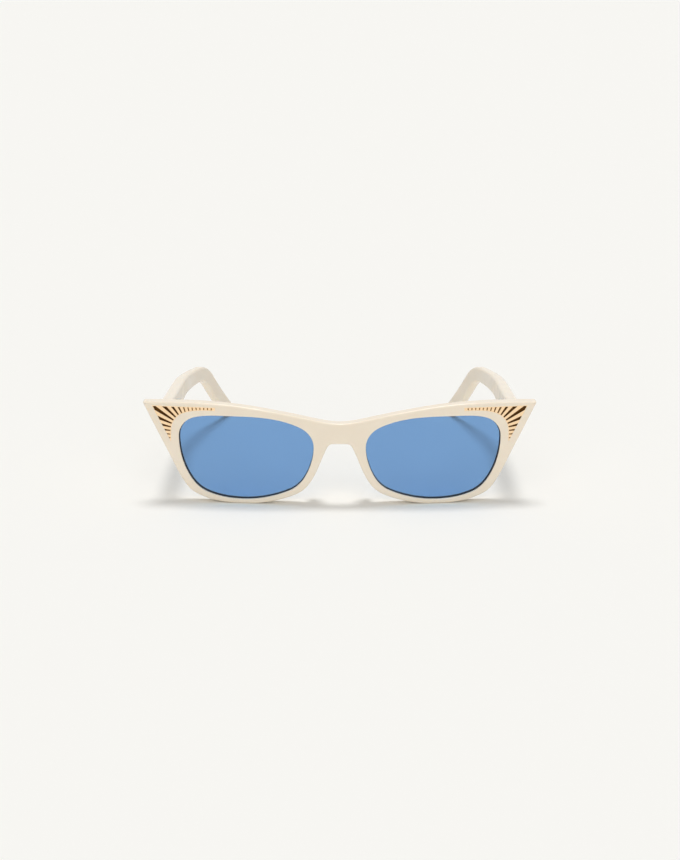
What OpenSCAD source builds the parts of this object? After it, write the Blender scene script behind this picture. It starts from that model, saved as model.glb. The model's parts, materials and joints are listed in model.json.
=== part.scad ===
// Cat-eye sunglasses: an acetate front with two glazed lenses, two folding temples on
// five-knuckle hinges, and a sunray trim let into each pointed upper corner.
// X runs across the front with the wearer's left at +X, Y runs from the front back to
// the ear tips, and Z rises from the table that the lower rims and the tips stand on.

/* [Lenses] */
// Width of one lens opening
lens_w = 50.4; // [42:0.2:60]
// Height of one lens opening
lens_h = 32.1; // [26:0.1:38]
// Thickness of a lens
lens_t = 1.8; // [1.4:0.1:2.2]
// Depth of the groove that a lens sits in
groove_depth = 0.7; // [0.4:0.1:0.9]
// Depth of a lens's front face below the front's
lens_depth = 0.8; // [0.6:0.1:1.2]

/* [Front] */
// Distance between the two lens openings, across the nose
bridge_w = 19.4; // [16:0.2:24]
// Thickness of the front from face to back
front_t = 4.4; // [3.6:0.1:5.4]
// Radius of the front's bow, seen from above
front_bow_r = 400; // [250:10:900]
// Height of the rim under a lens
rim_bottom = 1.7; // [1.5:0.1:4]
// Height of the brow over the top of a lens
brow_h = 4.7; // [4.4:0.1:7]
// Reach of the pointed corner beyond the lens opening
wing_reach = 13.4; // [13:0.1:17]
// How far the brow's middle dips below the top of a lens
bridge_dip = 2.4; // [0:0.1:3]
// Height of the bridge at the middle of the nose
bridge_h = 7.9; // [6:0.1:11]

/* [Temples] */
// Thickness of a temple at the hinge
temple_t = 4.4; // [4:0.1:5.6]
// Thickness of a temple at its tip
tip_t = 2.6; // [2.4:0.1:4]
// Height of a temple at the hinge
temple_h = 10; // [9.4:0.1:12]
// Height of a temple at the ear bend and along the tip
tip_h = 6.2; // [4.8:0.1:8]
// Length of a temple from the front to the ear bend
ear_reach = 86; // [70:1:104]
// Slope of a temple down towards the ear, in degrees
temple_slope = 4.7; // [2:0.1:8]
// Slope of the tip below the ear bend, in degrees
tip_slope = 46; // [38:1:55]
// Radius of the ear bend along the middle of the temple
ear_bend_r = 20; // [15:1:24]
// Distance behind the front at which a temple starts to curve inwards
bow_start = 50; // [40:1:60]
// Radius of a temple's inward curve, seen from above
temple_bow_r = 150; // [105:1:160]

/* [Hinges] */
// Radius of a hinge knuckle
knuckle_r = 1.6; // [1.2:0.05:2]
// Height of one of the five knuckles
knuckle_h = 1.6; // [1.4:0.05:1.8]
// Radius of the hinge screw's shank
screw_r = 0.7; // [0.6:0.05:0.8]
// Thickness of the hinge plates
plate_t = 1; // [0.8:0.05:1.1]
// Radius of a rivet's shank
rivet_r = 0.6; // [0.5:0.05:0.7]

/* [Trim] */
// Thickness of the trim
trim_t = 0.8; // [0.6:0.05:1]
// Depth of the grooves between the trim's ribs
ray_depth = 0.5; // [0.3:0.05:0.5]
// Number of grooves along the trim
ray_count = 17; // [13:1:19]

/* [Hidden] */
$fn = 96;

bow_fn = 720;                // facets of the front's large bow
span_steps = 8;              // points along one curved span of an outline
slide_gap = 0.05;            // running clearance of knuckles and screw
butt_gap = 0.15;             // gap between an open temple and the front
trim_inset = 0.1;            // depth of the trim's face below the front's face
trim_floor = trim_inset + trim_t;
trim_border = 0.2;           // border left around the trim's grooves
ray_half_w = 0.25;           // half the width of a groove where it starts
ray_spread = 0.07;           // growth of that half width along the groove
ray_reach = 12;              // length of a groove before the trim's border ends it
lens_gap = 0.1;              // play between a lens's edge and its groove

lens_x0 = bridge_w / 2;
lens_x1 = lens_x0 + lens_w;
lens_z0 = rim_bottom;
lens_z1 = lens_z0 + lens_h;
half_w = lens_x1 + wing_reach;
top_z = lens_z1 + brow_h;
bridge_z = lens_z1 - bridge_dip;

// ---- curves ----
function heading(angle) = [cos(angle), sin(angle)];
function place(knot) = [knot[0], knot[1]];
function heading_in(knot) = heading(knot[2]);
function heading_out(knot) = heading(len(knot) > 3 ? knot[3] : knot[2]);
function bezier(a, b, c, d, t) =
    a * pow(1 - t, 3) + b * 3 * t * pow(1 - t, 2) + c * 3 * t * t * (1 - t) + d * pow(t, 3);
function is_straight(a, b) =
    let (chord = place(b) - place(a), way = chord / norm(chord))
    way * heading_out(a) > 0.99999 && way * heading_in(b) > 0.99999;
// A near-circular arc from one knot to the next; a knot is [across, up, heading in, heading out].
function span(a, b) =
    let (chord = norm(place(b) - place(a)),
         half_turn = sqrt((1 + heading_out(a) * heading_in(b)) / 2),
         reach = chord * 2 / (3 * (1 + half_turn)),
         steps = is_straight(a, b) ? 1 : span_steps)
    [for (i = [0 : steps - 1])
        bezier(place(a), place(a) + reach * heading_out(a), place(b) - reach * heading_in(b),
               place(b), i / steps)];
function open_curve(knots) =
    [for (i = [0 : len(knots) - 2]) each span(knots[i], knots[i + 1]), place(knots[len(knots) - 1])];
function closed_curve(knots) =
    [for (i = [0 : len(knots) - 1]) each span(knots[i], knots[(i + 1) % len(knots)])];
function flipped(points) = [for (i = [len(points) - 1 : -1 : 0]) [-points[i][0], points[i][1]]];
// Knots moved to the left of their headings, which is outwards on a clockwise outline.
function shifted(knots, distance) =
    [for (k = knots) [k[0] - distance * sin(k[2]), k[1] + distance * cos(k[2]), k[2]]];

// ---- outlines, seen from the front ----
function lens_at(u, w) = [lens_x0 + u * lens_w, lens_z0 + w * lens_h];
function lens_knot(u, w, angle) = concat(lens_at(u, w), [angle]);
LENS_KNOTS = [
    lens_knot(0.62, 1, 0),
    lens_knot(0.88, 0.976, -14),
    lens_knot(1, 0.74, -90),
    lens_knot(0.92, 0.26, -121),
    lens_knot(0.8, 0.08, -156),
    lens_knot(0.52, 0, 180),
    lens_knot(0.18, 0.115, 156),
    lens_knot(0.066, 0.28, 120),
    lens_knot(0, 0.64, 90),
    lens_knot(0.1, 0.875, 26)];
function lens_outline(growth) = closed_curve(shifted(LENS_KNOTS, growth));

side_angle = -116;           // heading of the front's straight outer side
HALF_FRONT = open_curve([
    [0, bridge_z, 0],
    [lens_x0 + 3, bridge_z + 2, 12],
    [lens_x0 + 0.6 * lens_w, top_z - 0.6, 5.5],
    [half_w - 0.7, top_z - 0.3, -3],
    [half_w - 0.15, top_z - 0.9, side_angle],
    [lens_x1 + 4, lens_z0 + 0.53 * lens_h, side_angle],
    [lens_x0 + 0.94 * lens_w, lens_z0 + 0.13 * lens_h, -128],
    [lens_x0 + 0.81 * lens_w, 1.9, -160],
    [lens_x0 + 0.57 * lens_w, 0, 180],
    [lens_x0 + 0.47 * lens_w, 0, 180],
    [lens_x0 + 0.22 * lens_w, 2.2, 163],
    [lens_x0 + 2.6, lens_z0 + 0.16 * lens_h, 131],
    [lens_x0 - 4, bridge_z - bridge_h - 3.6, 114],
    [lens_x0 - 7, bridge_z - bridge_h, 180],
    [0, bridge_z - bridge_h, 180]]);
FRONT = concat(HALF_FRONT, flipped(HALF_FRONT));

trim_top = top_z - 1.6;
trim_tail_x = lens_x0 + 0.725 * lens_w;
trim_corner_x = half_w - 3.5;
// Inner edge of the trim from its tail over the lens to its lower end beside the lens.
TRIM_KNOTS = [
    [trim_tail_x, trim_top - 1.2, 0],
    [lens_x1 - 1.8, trim_top - 2.5, -22],
    [lens_x1 + 2.5, trim_top - 7.1, -73],
    [lens_x1 + 3, trim_top - 13.6, -88]];
function trim_inner(inset) = open_curve(shifted(TRIM_KNOTS, inset));
function trim_outline(inset) = concat(trim_inner(inset),
    [[trim_corner_x - 1.6 * inset, trim_top - inset], [trim_tail_x + inset, trim_top - inset]]);

// ---- the bowed front as layers ----
// Distance behind the front's middle of the surface that lies at a depth, x to the side.
function layer_y(x, depth) = front_bow_r - sqrt(pow(front_bow_r - depth, 2) - x * x);
module bow_cylinder(depth) {
    translate([0, front_bow_r, -5])
        cylinder(r = front_bow_r - depth, h = top_z + 10, $fn = bow_fn);
}
// The part of an extruded outline between two depths below the front's face.
module front_layer(points, near, far) {
    intersection() {
        translate([0, 3 * front_t + layer_y(half_w, 0), 0]) rotate([90, 0, 0])
            linear_extrude(4 * front_t + layer_y(half_w, 0)) polygon(points);
        difference() {
            bow_cylinder(near);
            bow_cylinder(far);
        }
    }
}
module both_sides() {
    children();
    mirror([1, 0, 0]) children();
}

// ---- hinge layout, for the wearer's left ----
temple_inset = 6.6;          // from the corner's end in to the temple's outer face
hinge_drop = 5.3;            // from the front's top down to the hinge's middle
side_gap = 0.35;             // between the knuckles and the temple
back_gap = 0.9;              // between the knuckles and the front
arm_out = 0.9;               // reach of the front's arms beyond the pin
arm_in = 0.6;                // reach of the front's arms and plate from the pin to the nose
plate_out = 3.6;             // reach of the front's plate beyond the temple's inner face
temple_plate_h = 6.4;        // height of the plate let into a temple
temple_plate_end = 2.4;      // length of that plate behind its rivets
screw_head_r = 1.25;
screw_head_h = 0.6;
slot_w = 0.4;                // width of the slot in a screw's head
rivet_rise = 2.1;            // rivets above and below the hinge's middle
rivet_head_r = 1;
rivet_head_t = 0.5;
rivet_gap = 0.01;            // play at the two ends of a front rivet
core_h = 1.6;                // height of the steel core in a temple
core_t = 1;                  // thickness of the steel core

temple_x = half_w - temple_inset;            // outer face of the temple
inner_x = temple_x - temple_t;               // inner face of the temple
pin_x = inner_x - knuckle_r - side_gap;
pin_y = layer_y(pin_x, front_t) + knuckle_r + back_gap;
hinge_z = top_z - hinge_drop;
pitch = knuckle_h + slide_gap;
barrel_h = 5 * knuckle_h + 4 * slide_gap;
barrel_z = hinge_z - barrel_h / 2;
front_rivet_x = inner_x + 1.9;
temple_rivet_y = pin_y + 5.6;
temple_plate_y = pin_y - 0.9;

function box_outline(x0, x1, z0, z1) = [[x0, z0], [x0, z1], [x1, z1], [x1, z0]];
FRONT_PLATE = box_outline(pin_x - arm_in, inner_x + plate_out, barrel_z, barrel_z + barrel_h);

// ---- temple layout, for the wearer's left ----
butt_y = layer_y(inner_x, front_t);
bow_y = butt_y + bow_start;
temple_mid_x = temple_x - temple_t / 2;
function along_slope(angle) = [cos(angle), -sin(angle)];
function above_slope(angle) = [sin(angle), cos(angle)];
bend_in = [butt_y, hinge_z] + ear_reach * along_slope(temple_slope);
bend_centre = bend_in - ear_bend_r * above_slope(temple_slope);
bend_out = bend_centre + ear_bend_r * above_slope(tip_slope);
tip_l = (bend_out[1] - tip_h / 2) / sin(tip_slope);
tip_end = bend_out + tip_l * along_slope(tip_slope);
mid_y = (tip_end[0] + tip_h / 2) / 2;

bend_steps = 10;
BEND = [for (i = [0 : bend_steps]) temple_slope + i / bend_steps * (tip_slope - temple_slope)];
// Edge of the temple seen from its side, at a distance above its middle line.
function side_edge(at_butt, at_bend) = concat(
    [[butt_y, hinge_z] - front_t * along_slope(temple_slope) + at_butt * above_slope(temple_slope)],
    [for (angle = BEND) bend_centre + (ear_bend_r + at_bend) * above_slope(angle)]);
function reversed(points) = [for (i = [len(points) - 1 : -1 : 0]) points[i]];
function arc_points(centre, radius, from, to, steps) =
    [for (i = [0 : steps]) centre + radius * heading(from + i / steps * (to - from))];
TIP_ROUND = concat(
    arc_points(tip_end, tip_h / 2, 90 - tip_slope, 0, 8),
    arc_points(tip_end, tip_h / 2, -10, -90, 8),
    arc_points(tip_end, tip_h / 2, -98, -90 - tip_slope, 4));
TEMPLE_SIDE = concat(side_edge(temple_h / 2, tip_h / 2), TIP_ROUND,
    reversed(side_edge(-temple_h / 2, -tip_h / 2)));
core_end = bend_out + (tip_l - tip_h) * along_slope(tip_slope);
CORE_SIDE = concat(side_edge(core_h / 2, core_h / 2),
    [for (side = [1, -1]) core_end + side * core_h / 2 * above_slope(tip_slope)],
    reversed(side_edge(-core_h / 2, -core_h / 2)));

bow_end = asin((tip_end[0] + tip_h - bow_y) / temple_bow_r);
bow_steps = 24;
BOW = [for (i = [0 : bow_steps]) i / bow_steps];
// Edge of the temple seen from above, out from its middle line.
function plan_edge(at_hinge, at_tip) = concat(
    [[temple_mid_x + at_hinge, 0]],
    [for (t = BOW) [temple_mid_x - temple_bow_r, bow_y]
        + (temple_bow_r + at_hinge + t * (at_tip - at_hinge)) * heading(t * bow_end)]);
function plan_outline(at_hinge, at_tip) =
    concat(plan_edge(at_hinge, at_tip), reversed(plan_edge(-at_hinge, -at_tip)));

module in_frame() {
    translate([0, -mid_y, 0]) children();
}
module knuckle(index) {
    translate([pin_x, pin_y, barrel_z + index * pitch]) cylinder(r = knuckle_r, h = knuckle_h);
}

// ---- front ----
// Two rivets square to the bowed front, from one depth to another, headed at the trim's pocket.
module front_rivet_row(near, far) {
    for (side = [-1, 1])
        translate([0, front_bow_r, hinge_z + side * rivet_rise])
            rotate([0, 0, asin(front_rivet_x / front_bow_r)])
                translate([0, near - front_bow_r, 0]) rotate([-90, 0, 0]) {
                    cylinder(r = rivet_r, h = far - near);
                    cylinder(r = rivet_head_r, h = trim_floor + rivet_head_t - near);
                }
}

module front_frame() {
    color("antiquewhite") in_frame() difference() {
        front_layer(FRONT, 0, front_t);
        both_sides() {
            front_layer(lens_outline(0), -1, front_t + 1);
            front_layer(lens_outline(groove_depth), lens_depth, lens_depth + lens_t + slide_gap);
            front_layer(trim_outline(0), -1, trim_floor);
            front_layer(FRONT_PLATE, front_t - plate_t, front_t + 1);
            front_rivet_row(trim_inset, front_t + 1);
        }
    }
}

module lens() {
    color("steelblue", 0.8) in_frame()
        front_layer(lens_outline(groove_depth - lens_gap), lens_depth, lens_depth + lens_t);
}
module lens_left() { lens(); }
module lens_right() { mirror([1, 0, 0]) lens(); }

// Point and heading at a length along a run of points.
function walk(points, length, i = 0) =
    let (step = points[i + 1] - points[i], d = norm(step))
    length <= d || i == len(points) - 2
        ? [points[i] + step / d * length, step / d]
        : walk(points, length - d, i + 1);
function run_length(points) =
    total([for (i = [0 : len(points) - 2]) norm(points[i + 1] - points[i])]);
function total(values, i = 0) = i == len(values) ? 0 : values[i] + total(values, i + 1);

// A groove that starts narrow at the trim's inner edge and widens away from the lens.
module ray(start, way) {
    out = [-way[1], way[0]];
    far = start + ray_reach * out;
    wide = ray_half_w + ray_reach * ray_spread;
    translate([0, trim_floor + layer_y(half_w, 0), 0]) rotate([90, 0, 0])
        linear_extrude(trim_floor + layer_y(half_w, 0) + 1)
            polygon([start - ray_half_w * way, far - wide * way,
                     far + wide * way, start + ray_half_w * way]);
}
module trim() {
    edge = trim_inner(0);
    ray_pitch = run_length(edge) / (ray_count + 1);
    color("burlywood") in_frame() difference() {
        front_layer(trim_outline(0), trim_inset, trim_floor);
        intersection() {
            front_layer(trim_outline(trim_border), -1, trim_inset + ray_depth);
            for (i = [1 : ray_count]) {
                spot = walk(edge, i * ray_pitch);
                ray(spot[0], spot[1]);
            }
        }
    }
}
module trim_left() { trim(); }
module trim_right() { mirror([1, 0, 0]) trim(); }

pad_l = 13;                  // length, width and thickness of a nose pad
pad_w = 7;
pad_t = 2.4;
pad_in = 0.6;                // from the lens opening's nasal edge to the pad's middle
pad_z = lens_z0 + 0.42 * lens_h;
pad_lean = 24;               // lean of the pad along the side of the nose, in degrees
pad_turn = 10;               // turn of the pad out towards its back, in degrees
// A pad glued behind the nasal side of the rim, hidden there from the front.
module nose_pad() {
    color("antiquewhite") in_frame() intersection() {
        translate([lens_x0 - pad_in, layer_y(lens_x0, front_t) + pad_w / 4, pad_z])
            rotate([0, -pad_lean, 0]) rotate([0, 0, -pad_turn]) rotate([90, 0, 90])
                linear_extrude(pad_t, center = true)
                    polygon([for (a = [0 : 10 : 350]) [pad_w / 2 * cos(a), pad_l / 2 * sin(a)]]);
        bow_cylinder(front_t);
    }
}
module nose_pad_left() { nose_pad(); }
module nose_pad_right() { mirror([1, 0, 0]) nose_pad(); }

// ---- hinges ----
module front_hinge() {
    arm_y = layer_y(pin_x, front_t - plate_t / 2);
    color("silver") in_frame() difference() {
        union() {
            front_layer(FRONT_PLATE, front_t - plate_t, front_t);
            for (index = [0, 2, 4]) {
                knuckle(index);
                translate([pin_x - arm_in, arm_y, barrel_z + index * pitch])
                    cube([arm_in + arm_out, pin_y - arm_y, knuckle_h]);
            }
        }
        hinge_bore(screw_r);
        front_rivet_row(trim_inset, front_t + 1);
    }
}
module front_hinge_left() { front_hinge(); }
module front_hinge_right() { mirror([1, 0, 0]) front_hinge(); }

module temple_hinge() {
    color("silver") in_frame() difference() {
        union() {
            translate([inner_x, temple_plate_y, hinge_z - temple_plate_h / 2])
                cube([plate_t, temple_rivet_y + temple_plate_end - temple_plate_y,
                      temple_plate_h]);
            for (index = [1, 3]) {
                knuckle(index);
                translate([pin_x, temple_plate_y, barrel_z + index * pitch])
                    cube([inner_x - pin_x + plate_t / 2, pin_y + knuckle_r - temple_plate_y,
                          knuckle_h]);
            }
        }
        hinge_bore(screw_r + slide_gap);
        temple_rivet_row();
    }
}
module temple_hinge_left() { temple_hinge(); }
module temple_hinge_right() { mirror([1, 0, 0]) temple_hinge(); }

module hinge_bore(radius) {
    translate([pin_x, pin_y, barrel_z - 1]) cylinder(r = radius, h = barrel_h + 2);
}
module hinge_screw() {
    top = barrel_z + barrel_h;
    color("silver") in_frame() difference() {
        union() {
            translate([pin_x, pin_y, barrel_z]) cylinder(r = screw_r, h = barrel_h);
            translate([pin_x, pin_y, top]) cylinder(r = screw_head_r, h = screw_head_h);
        }
        translate([pin_x - 2 * screw_head_r, pin_y - slot_w / 2, top + screw_head_h / 2])
            cube([4 * screw_head_r, slot_w, screw_head_h]);
    }
}
module hinge_screw_left() { hinge_screw(); }
module hinge_screw_right() { mirror([1, 0, 0]) hinge_screw(); }

module front_rivets() {
    color("silver") in_frame() front_rivet_row(trim_floor + rivet_gap, front_t - rivet_gap);
}
module front_rivets_left() { front_rivets(); }
module front_rivets_right() { mirror([1, 0, 0]) front_rivets(); }

// Two rivets from the plate to the temple's outer face, their heads sunk flush in that face.
module temple_rivet_row() {
    for (side = [-1, 1])
        translate([inner_x, temple_rivet_y, hinge_z + side * rivet_rise]) rotate([0, 90, 0]) {
            cylinder(r = rivet_r, h = temple_t);
            translate([0, 0, temple_t - rivet_head_t]) cylinder(r = rivet_head_r, h = rivet_head_t);
        }
}
module temple_rivets() {
    color("silver") in_frame() temple_rivet_row();
}
module temple_rivets_left() { temple_rivets(); }
module temple_rivets_right() { mirror([1, 0, 0]) temple_rivets(); }

// ---- temples ----
// Where an outline seen from the side meets one seen from above, behind the bowed front.
module temple_run(side, plan) {
    intersection() {
        rotate([90, 0, 90]) linear_extrude(half_w) polygon(side);
        linear_extrude(top_z + 1) polygon(plan);
        translate([0, 0, -1]) bow_cylinder(front_t + butt_gap);
    }
}
module temple_core() {
    color("silver") in_frame() temple_run(CORE_SIDE, plan_outline(core_t / 2, core_t / 2));
}
module temple() {
    color("antiquewhite") in_frame() difference() {
        temple_run(TEMPLE_SIDE, plan_outline(temple_t / 2, tip_t / 2));
        temple_run(CORE_SIDE, plan_outline(core_t / 2, core_t / 2));
        translate([inner_x - 1, 0, hinge_z - temple_plate_h / 2])
            cube([plate_t + 1, temple_rivet_y + temple_plate_end, temple_plate_h]);
        temple_rivet_row();
    }
}
module temple_left() { temple(); }
module temple_right() { mirror([1, 0, 0]) temple(); }
module temple_core_left() { temple_core(); }
module temple_core_right() { mirror([1, 0, 0]) temple_core(); }

front_frame();
lens_left();
lens_right();
trim_left();
trim_right();
nose_pad_left();
nose_pad_right();
front_hinge_left();
front_hinge_right();
front_rivets_left();
front_rivets_right();
hinge_screw_left();
hinge_screw_right();
temple_left();
temple_right();
temple_core_left();
temple_core_right();
temple_hinge_left();
temple_hinge_right();
temple_rivets_left();
temple_rivets_right();
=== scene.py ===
"""Cat-eye sunglasses: an ivory acetate front with sunray corner trim, blue lenses and folding temples.

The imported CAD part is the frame, and the classes here build the finished pieces on it. Sizes are in
millimetres under the names that the CAD model gives them, and become metres where a mesh becomes an
object. The front is laid out flat, as across, depth behind its face and height, and then bowed.
"""

from __future__ import annotations

import json
import logging
import math
from collections.abc import Callable, Iterable, Sequence
from dataclasses import dataclass
from enum import Enum

import bmesh
import bpy
from mathutils import Matrix, Vector
from mathutils.geometry import delaunay_2d_cdt
from mathutils.kdtree import KDTree

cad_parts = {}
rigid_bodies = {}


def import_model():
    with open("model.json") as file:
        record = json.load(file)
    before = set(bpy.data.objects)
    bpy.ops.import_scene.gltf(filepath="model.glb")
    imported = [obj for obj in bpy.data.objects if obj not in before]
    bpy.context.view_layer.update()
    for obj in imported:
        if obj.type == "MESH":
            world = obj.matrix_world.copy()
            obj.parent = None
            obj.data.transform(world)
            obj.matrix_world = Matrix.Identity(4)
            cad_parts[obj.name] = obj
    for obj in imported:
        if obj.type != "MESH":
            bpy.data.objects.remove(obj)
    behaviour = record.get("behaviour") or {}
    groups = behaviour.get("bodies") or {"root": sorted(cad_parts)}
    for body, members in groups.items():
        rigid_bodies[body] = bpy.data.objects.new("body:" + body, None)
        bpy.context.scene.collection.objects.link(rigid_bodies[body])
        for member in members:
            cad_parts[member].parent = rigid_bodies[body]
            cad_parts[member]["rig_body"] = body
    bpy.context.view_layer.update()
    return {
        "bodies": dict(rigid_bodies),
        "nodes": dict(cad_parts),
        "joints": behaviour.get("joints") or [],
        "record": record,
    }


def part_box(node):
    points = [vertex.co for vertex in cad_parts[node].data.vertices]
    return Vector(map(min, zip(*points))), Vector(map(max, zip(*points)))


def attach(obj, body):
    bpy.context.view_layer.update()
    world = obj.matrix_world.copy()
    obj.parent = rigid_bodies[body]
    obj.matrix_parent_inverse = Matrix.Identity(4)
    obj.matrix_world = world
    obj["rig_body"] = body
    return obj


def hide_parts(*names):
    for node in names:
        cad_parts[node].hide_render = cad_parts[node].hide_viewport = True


LOG = logging.getLogger("sunglasses")
MM = 0.001
CREASE = math.radians(32)      # an edge is drawn sharp from this angle on
RIB_CORNER = math.radians(40)  # a trim's edge is eased from this angle on
CLOUDS = (0.3, 0.7)            # the part of a soft noise's range that roughness follows


class Side(Enum):
    """The wearer's side that a piece is on, as the sign of X there."""

    LEFT = 1
    RIGHT = -1

    def named(self, piece: str) -> str:
        """A piece's name with its side."""
        return f"{piece}_{self.name.lower()}"


# ---- outlines ----
Turn = Callable[[Sequence[Vector]], list[Vector]]  # lays an outline out for one side


@dataclass(frozen=True)
class Knot:
    """A point on an outline, with the heading of the curve there in degrees."""

    x: float
    z: float
    angle: float

    @property
    def place(self) -> Vector:
        """The knot's point."""
        return Vector((self.x, self.z))

    @property
    def way(self) -> Vector:
        """The knot's heading as a unit vector."""
        return Vector((math.cos(math.radians(self.angle)), math.sin(math.radians(self.angle))))

    def moved(self, distance: float) -> Knot:
        """The knot moved to the left of its heading."""
        return Knot(self.x - distance * self.way.y, self.z + distance * self.way.x, self.angle)


def curve(knots: Sequence[Knot], closed: bool = False, pitch: float = 0.8) -> list[Vector]:
    """Lays points along near-circular arcs from knot to knot.

    Args:
        knots: the outline's knots in order.
        closed: whether the last knot joins the first.
        pitch: the widest spacing of the points; a short arc still gets ten.

    Returns:
        The points, without a repeat of the first where the outline is closed.
    """
    points: list[Vector] = []
    ends = [*knots[1:], knots[0]] if closed else list(knots[1:])
    for a, b in zip(knots, ends):
        chord = (b.place - a.place).length
        half_turn = math.sqrt(max(0.0, (1 + a.way.dot(b.way)) / 2))
        reach = chord * 2 / (3 * (1 + half_turn))
        poles = (a.place, a.place + reach * a.way, b.place - reach * b.way, b.place)
        steps = max(10, math.ceil(chord / pitch))
        for i in range(steps):
            t = i / steps
            weights = ((1 - t) ** 3, 3 * t * (1 - t) ** 2, 3 * t * t * (1 - t), t**3)
            points.append(sum((w * p for w, p in zip(weights, poles)), Vector((0, 0))))
    return points if closed else [*points, knots[-1].place]


def mirrored(points: Sequence[Vector]) -> list[Vector]:
    """An outline on the other side of the nose, still clockwise."""
    return [Vector((-p.x, p.y)) for p in reversed(points)]


def grown(points: Sequence[Vector], distance: float) -> list[Vector]:
    """A clockwise closed outline moved outwards point by point; a negative distance moves it in."""
    moved = []
    for i, point in enumerate(points):
        way = (points[(i + 1) % len(points)] - points[i - 1]).normalized()
        moved.append(point + distance * Vector((-way.y, way.x)))
    return moved


def quarter(radius: float, steps: int) -> list[tuple[float, float]]:
    """A rounded edge, as (inset from the wall, depth below the face) from the face to the wall."""
    turns = [math.pi / 2 * i / steps for i in range(steps + 1)]
    return [(radius * (1 - math.sin(a)), radius * (1 - math.cos(a))) for a in turns]


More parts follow.
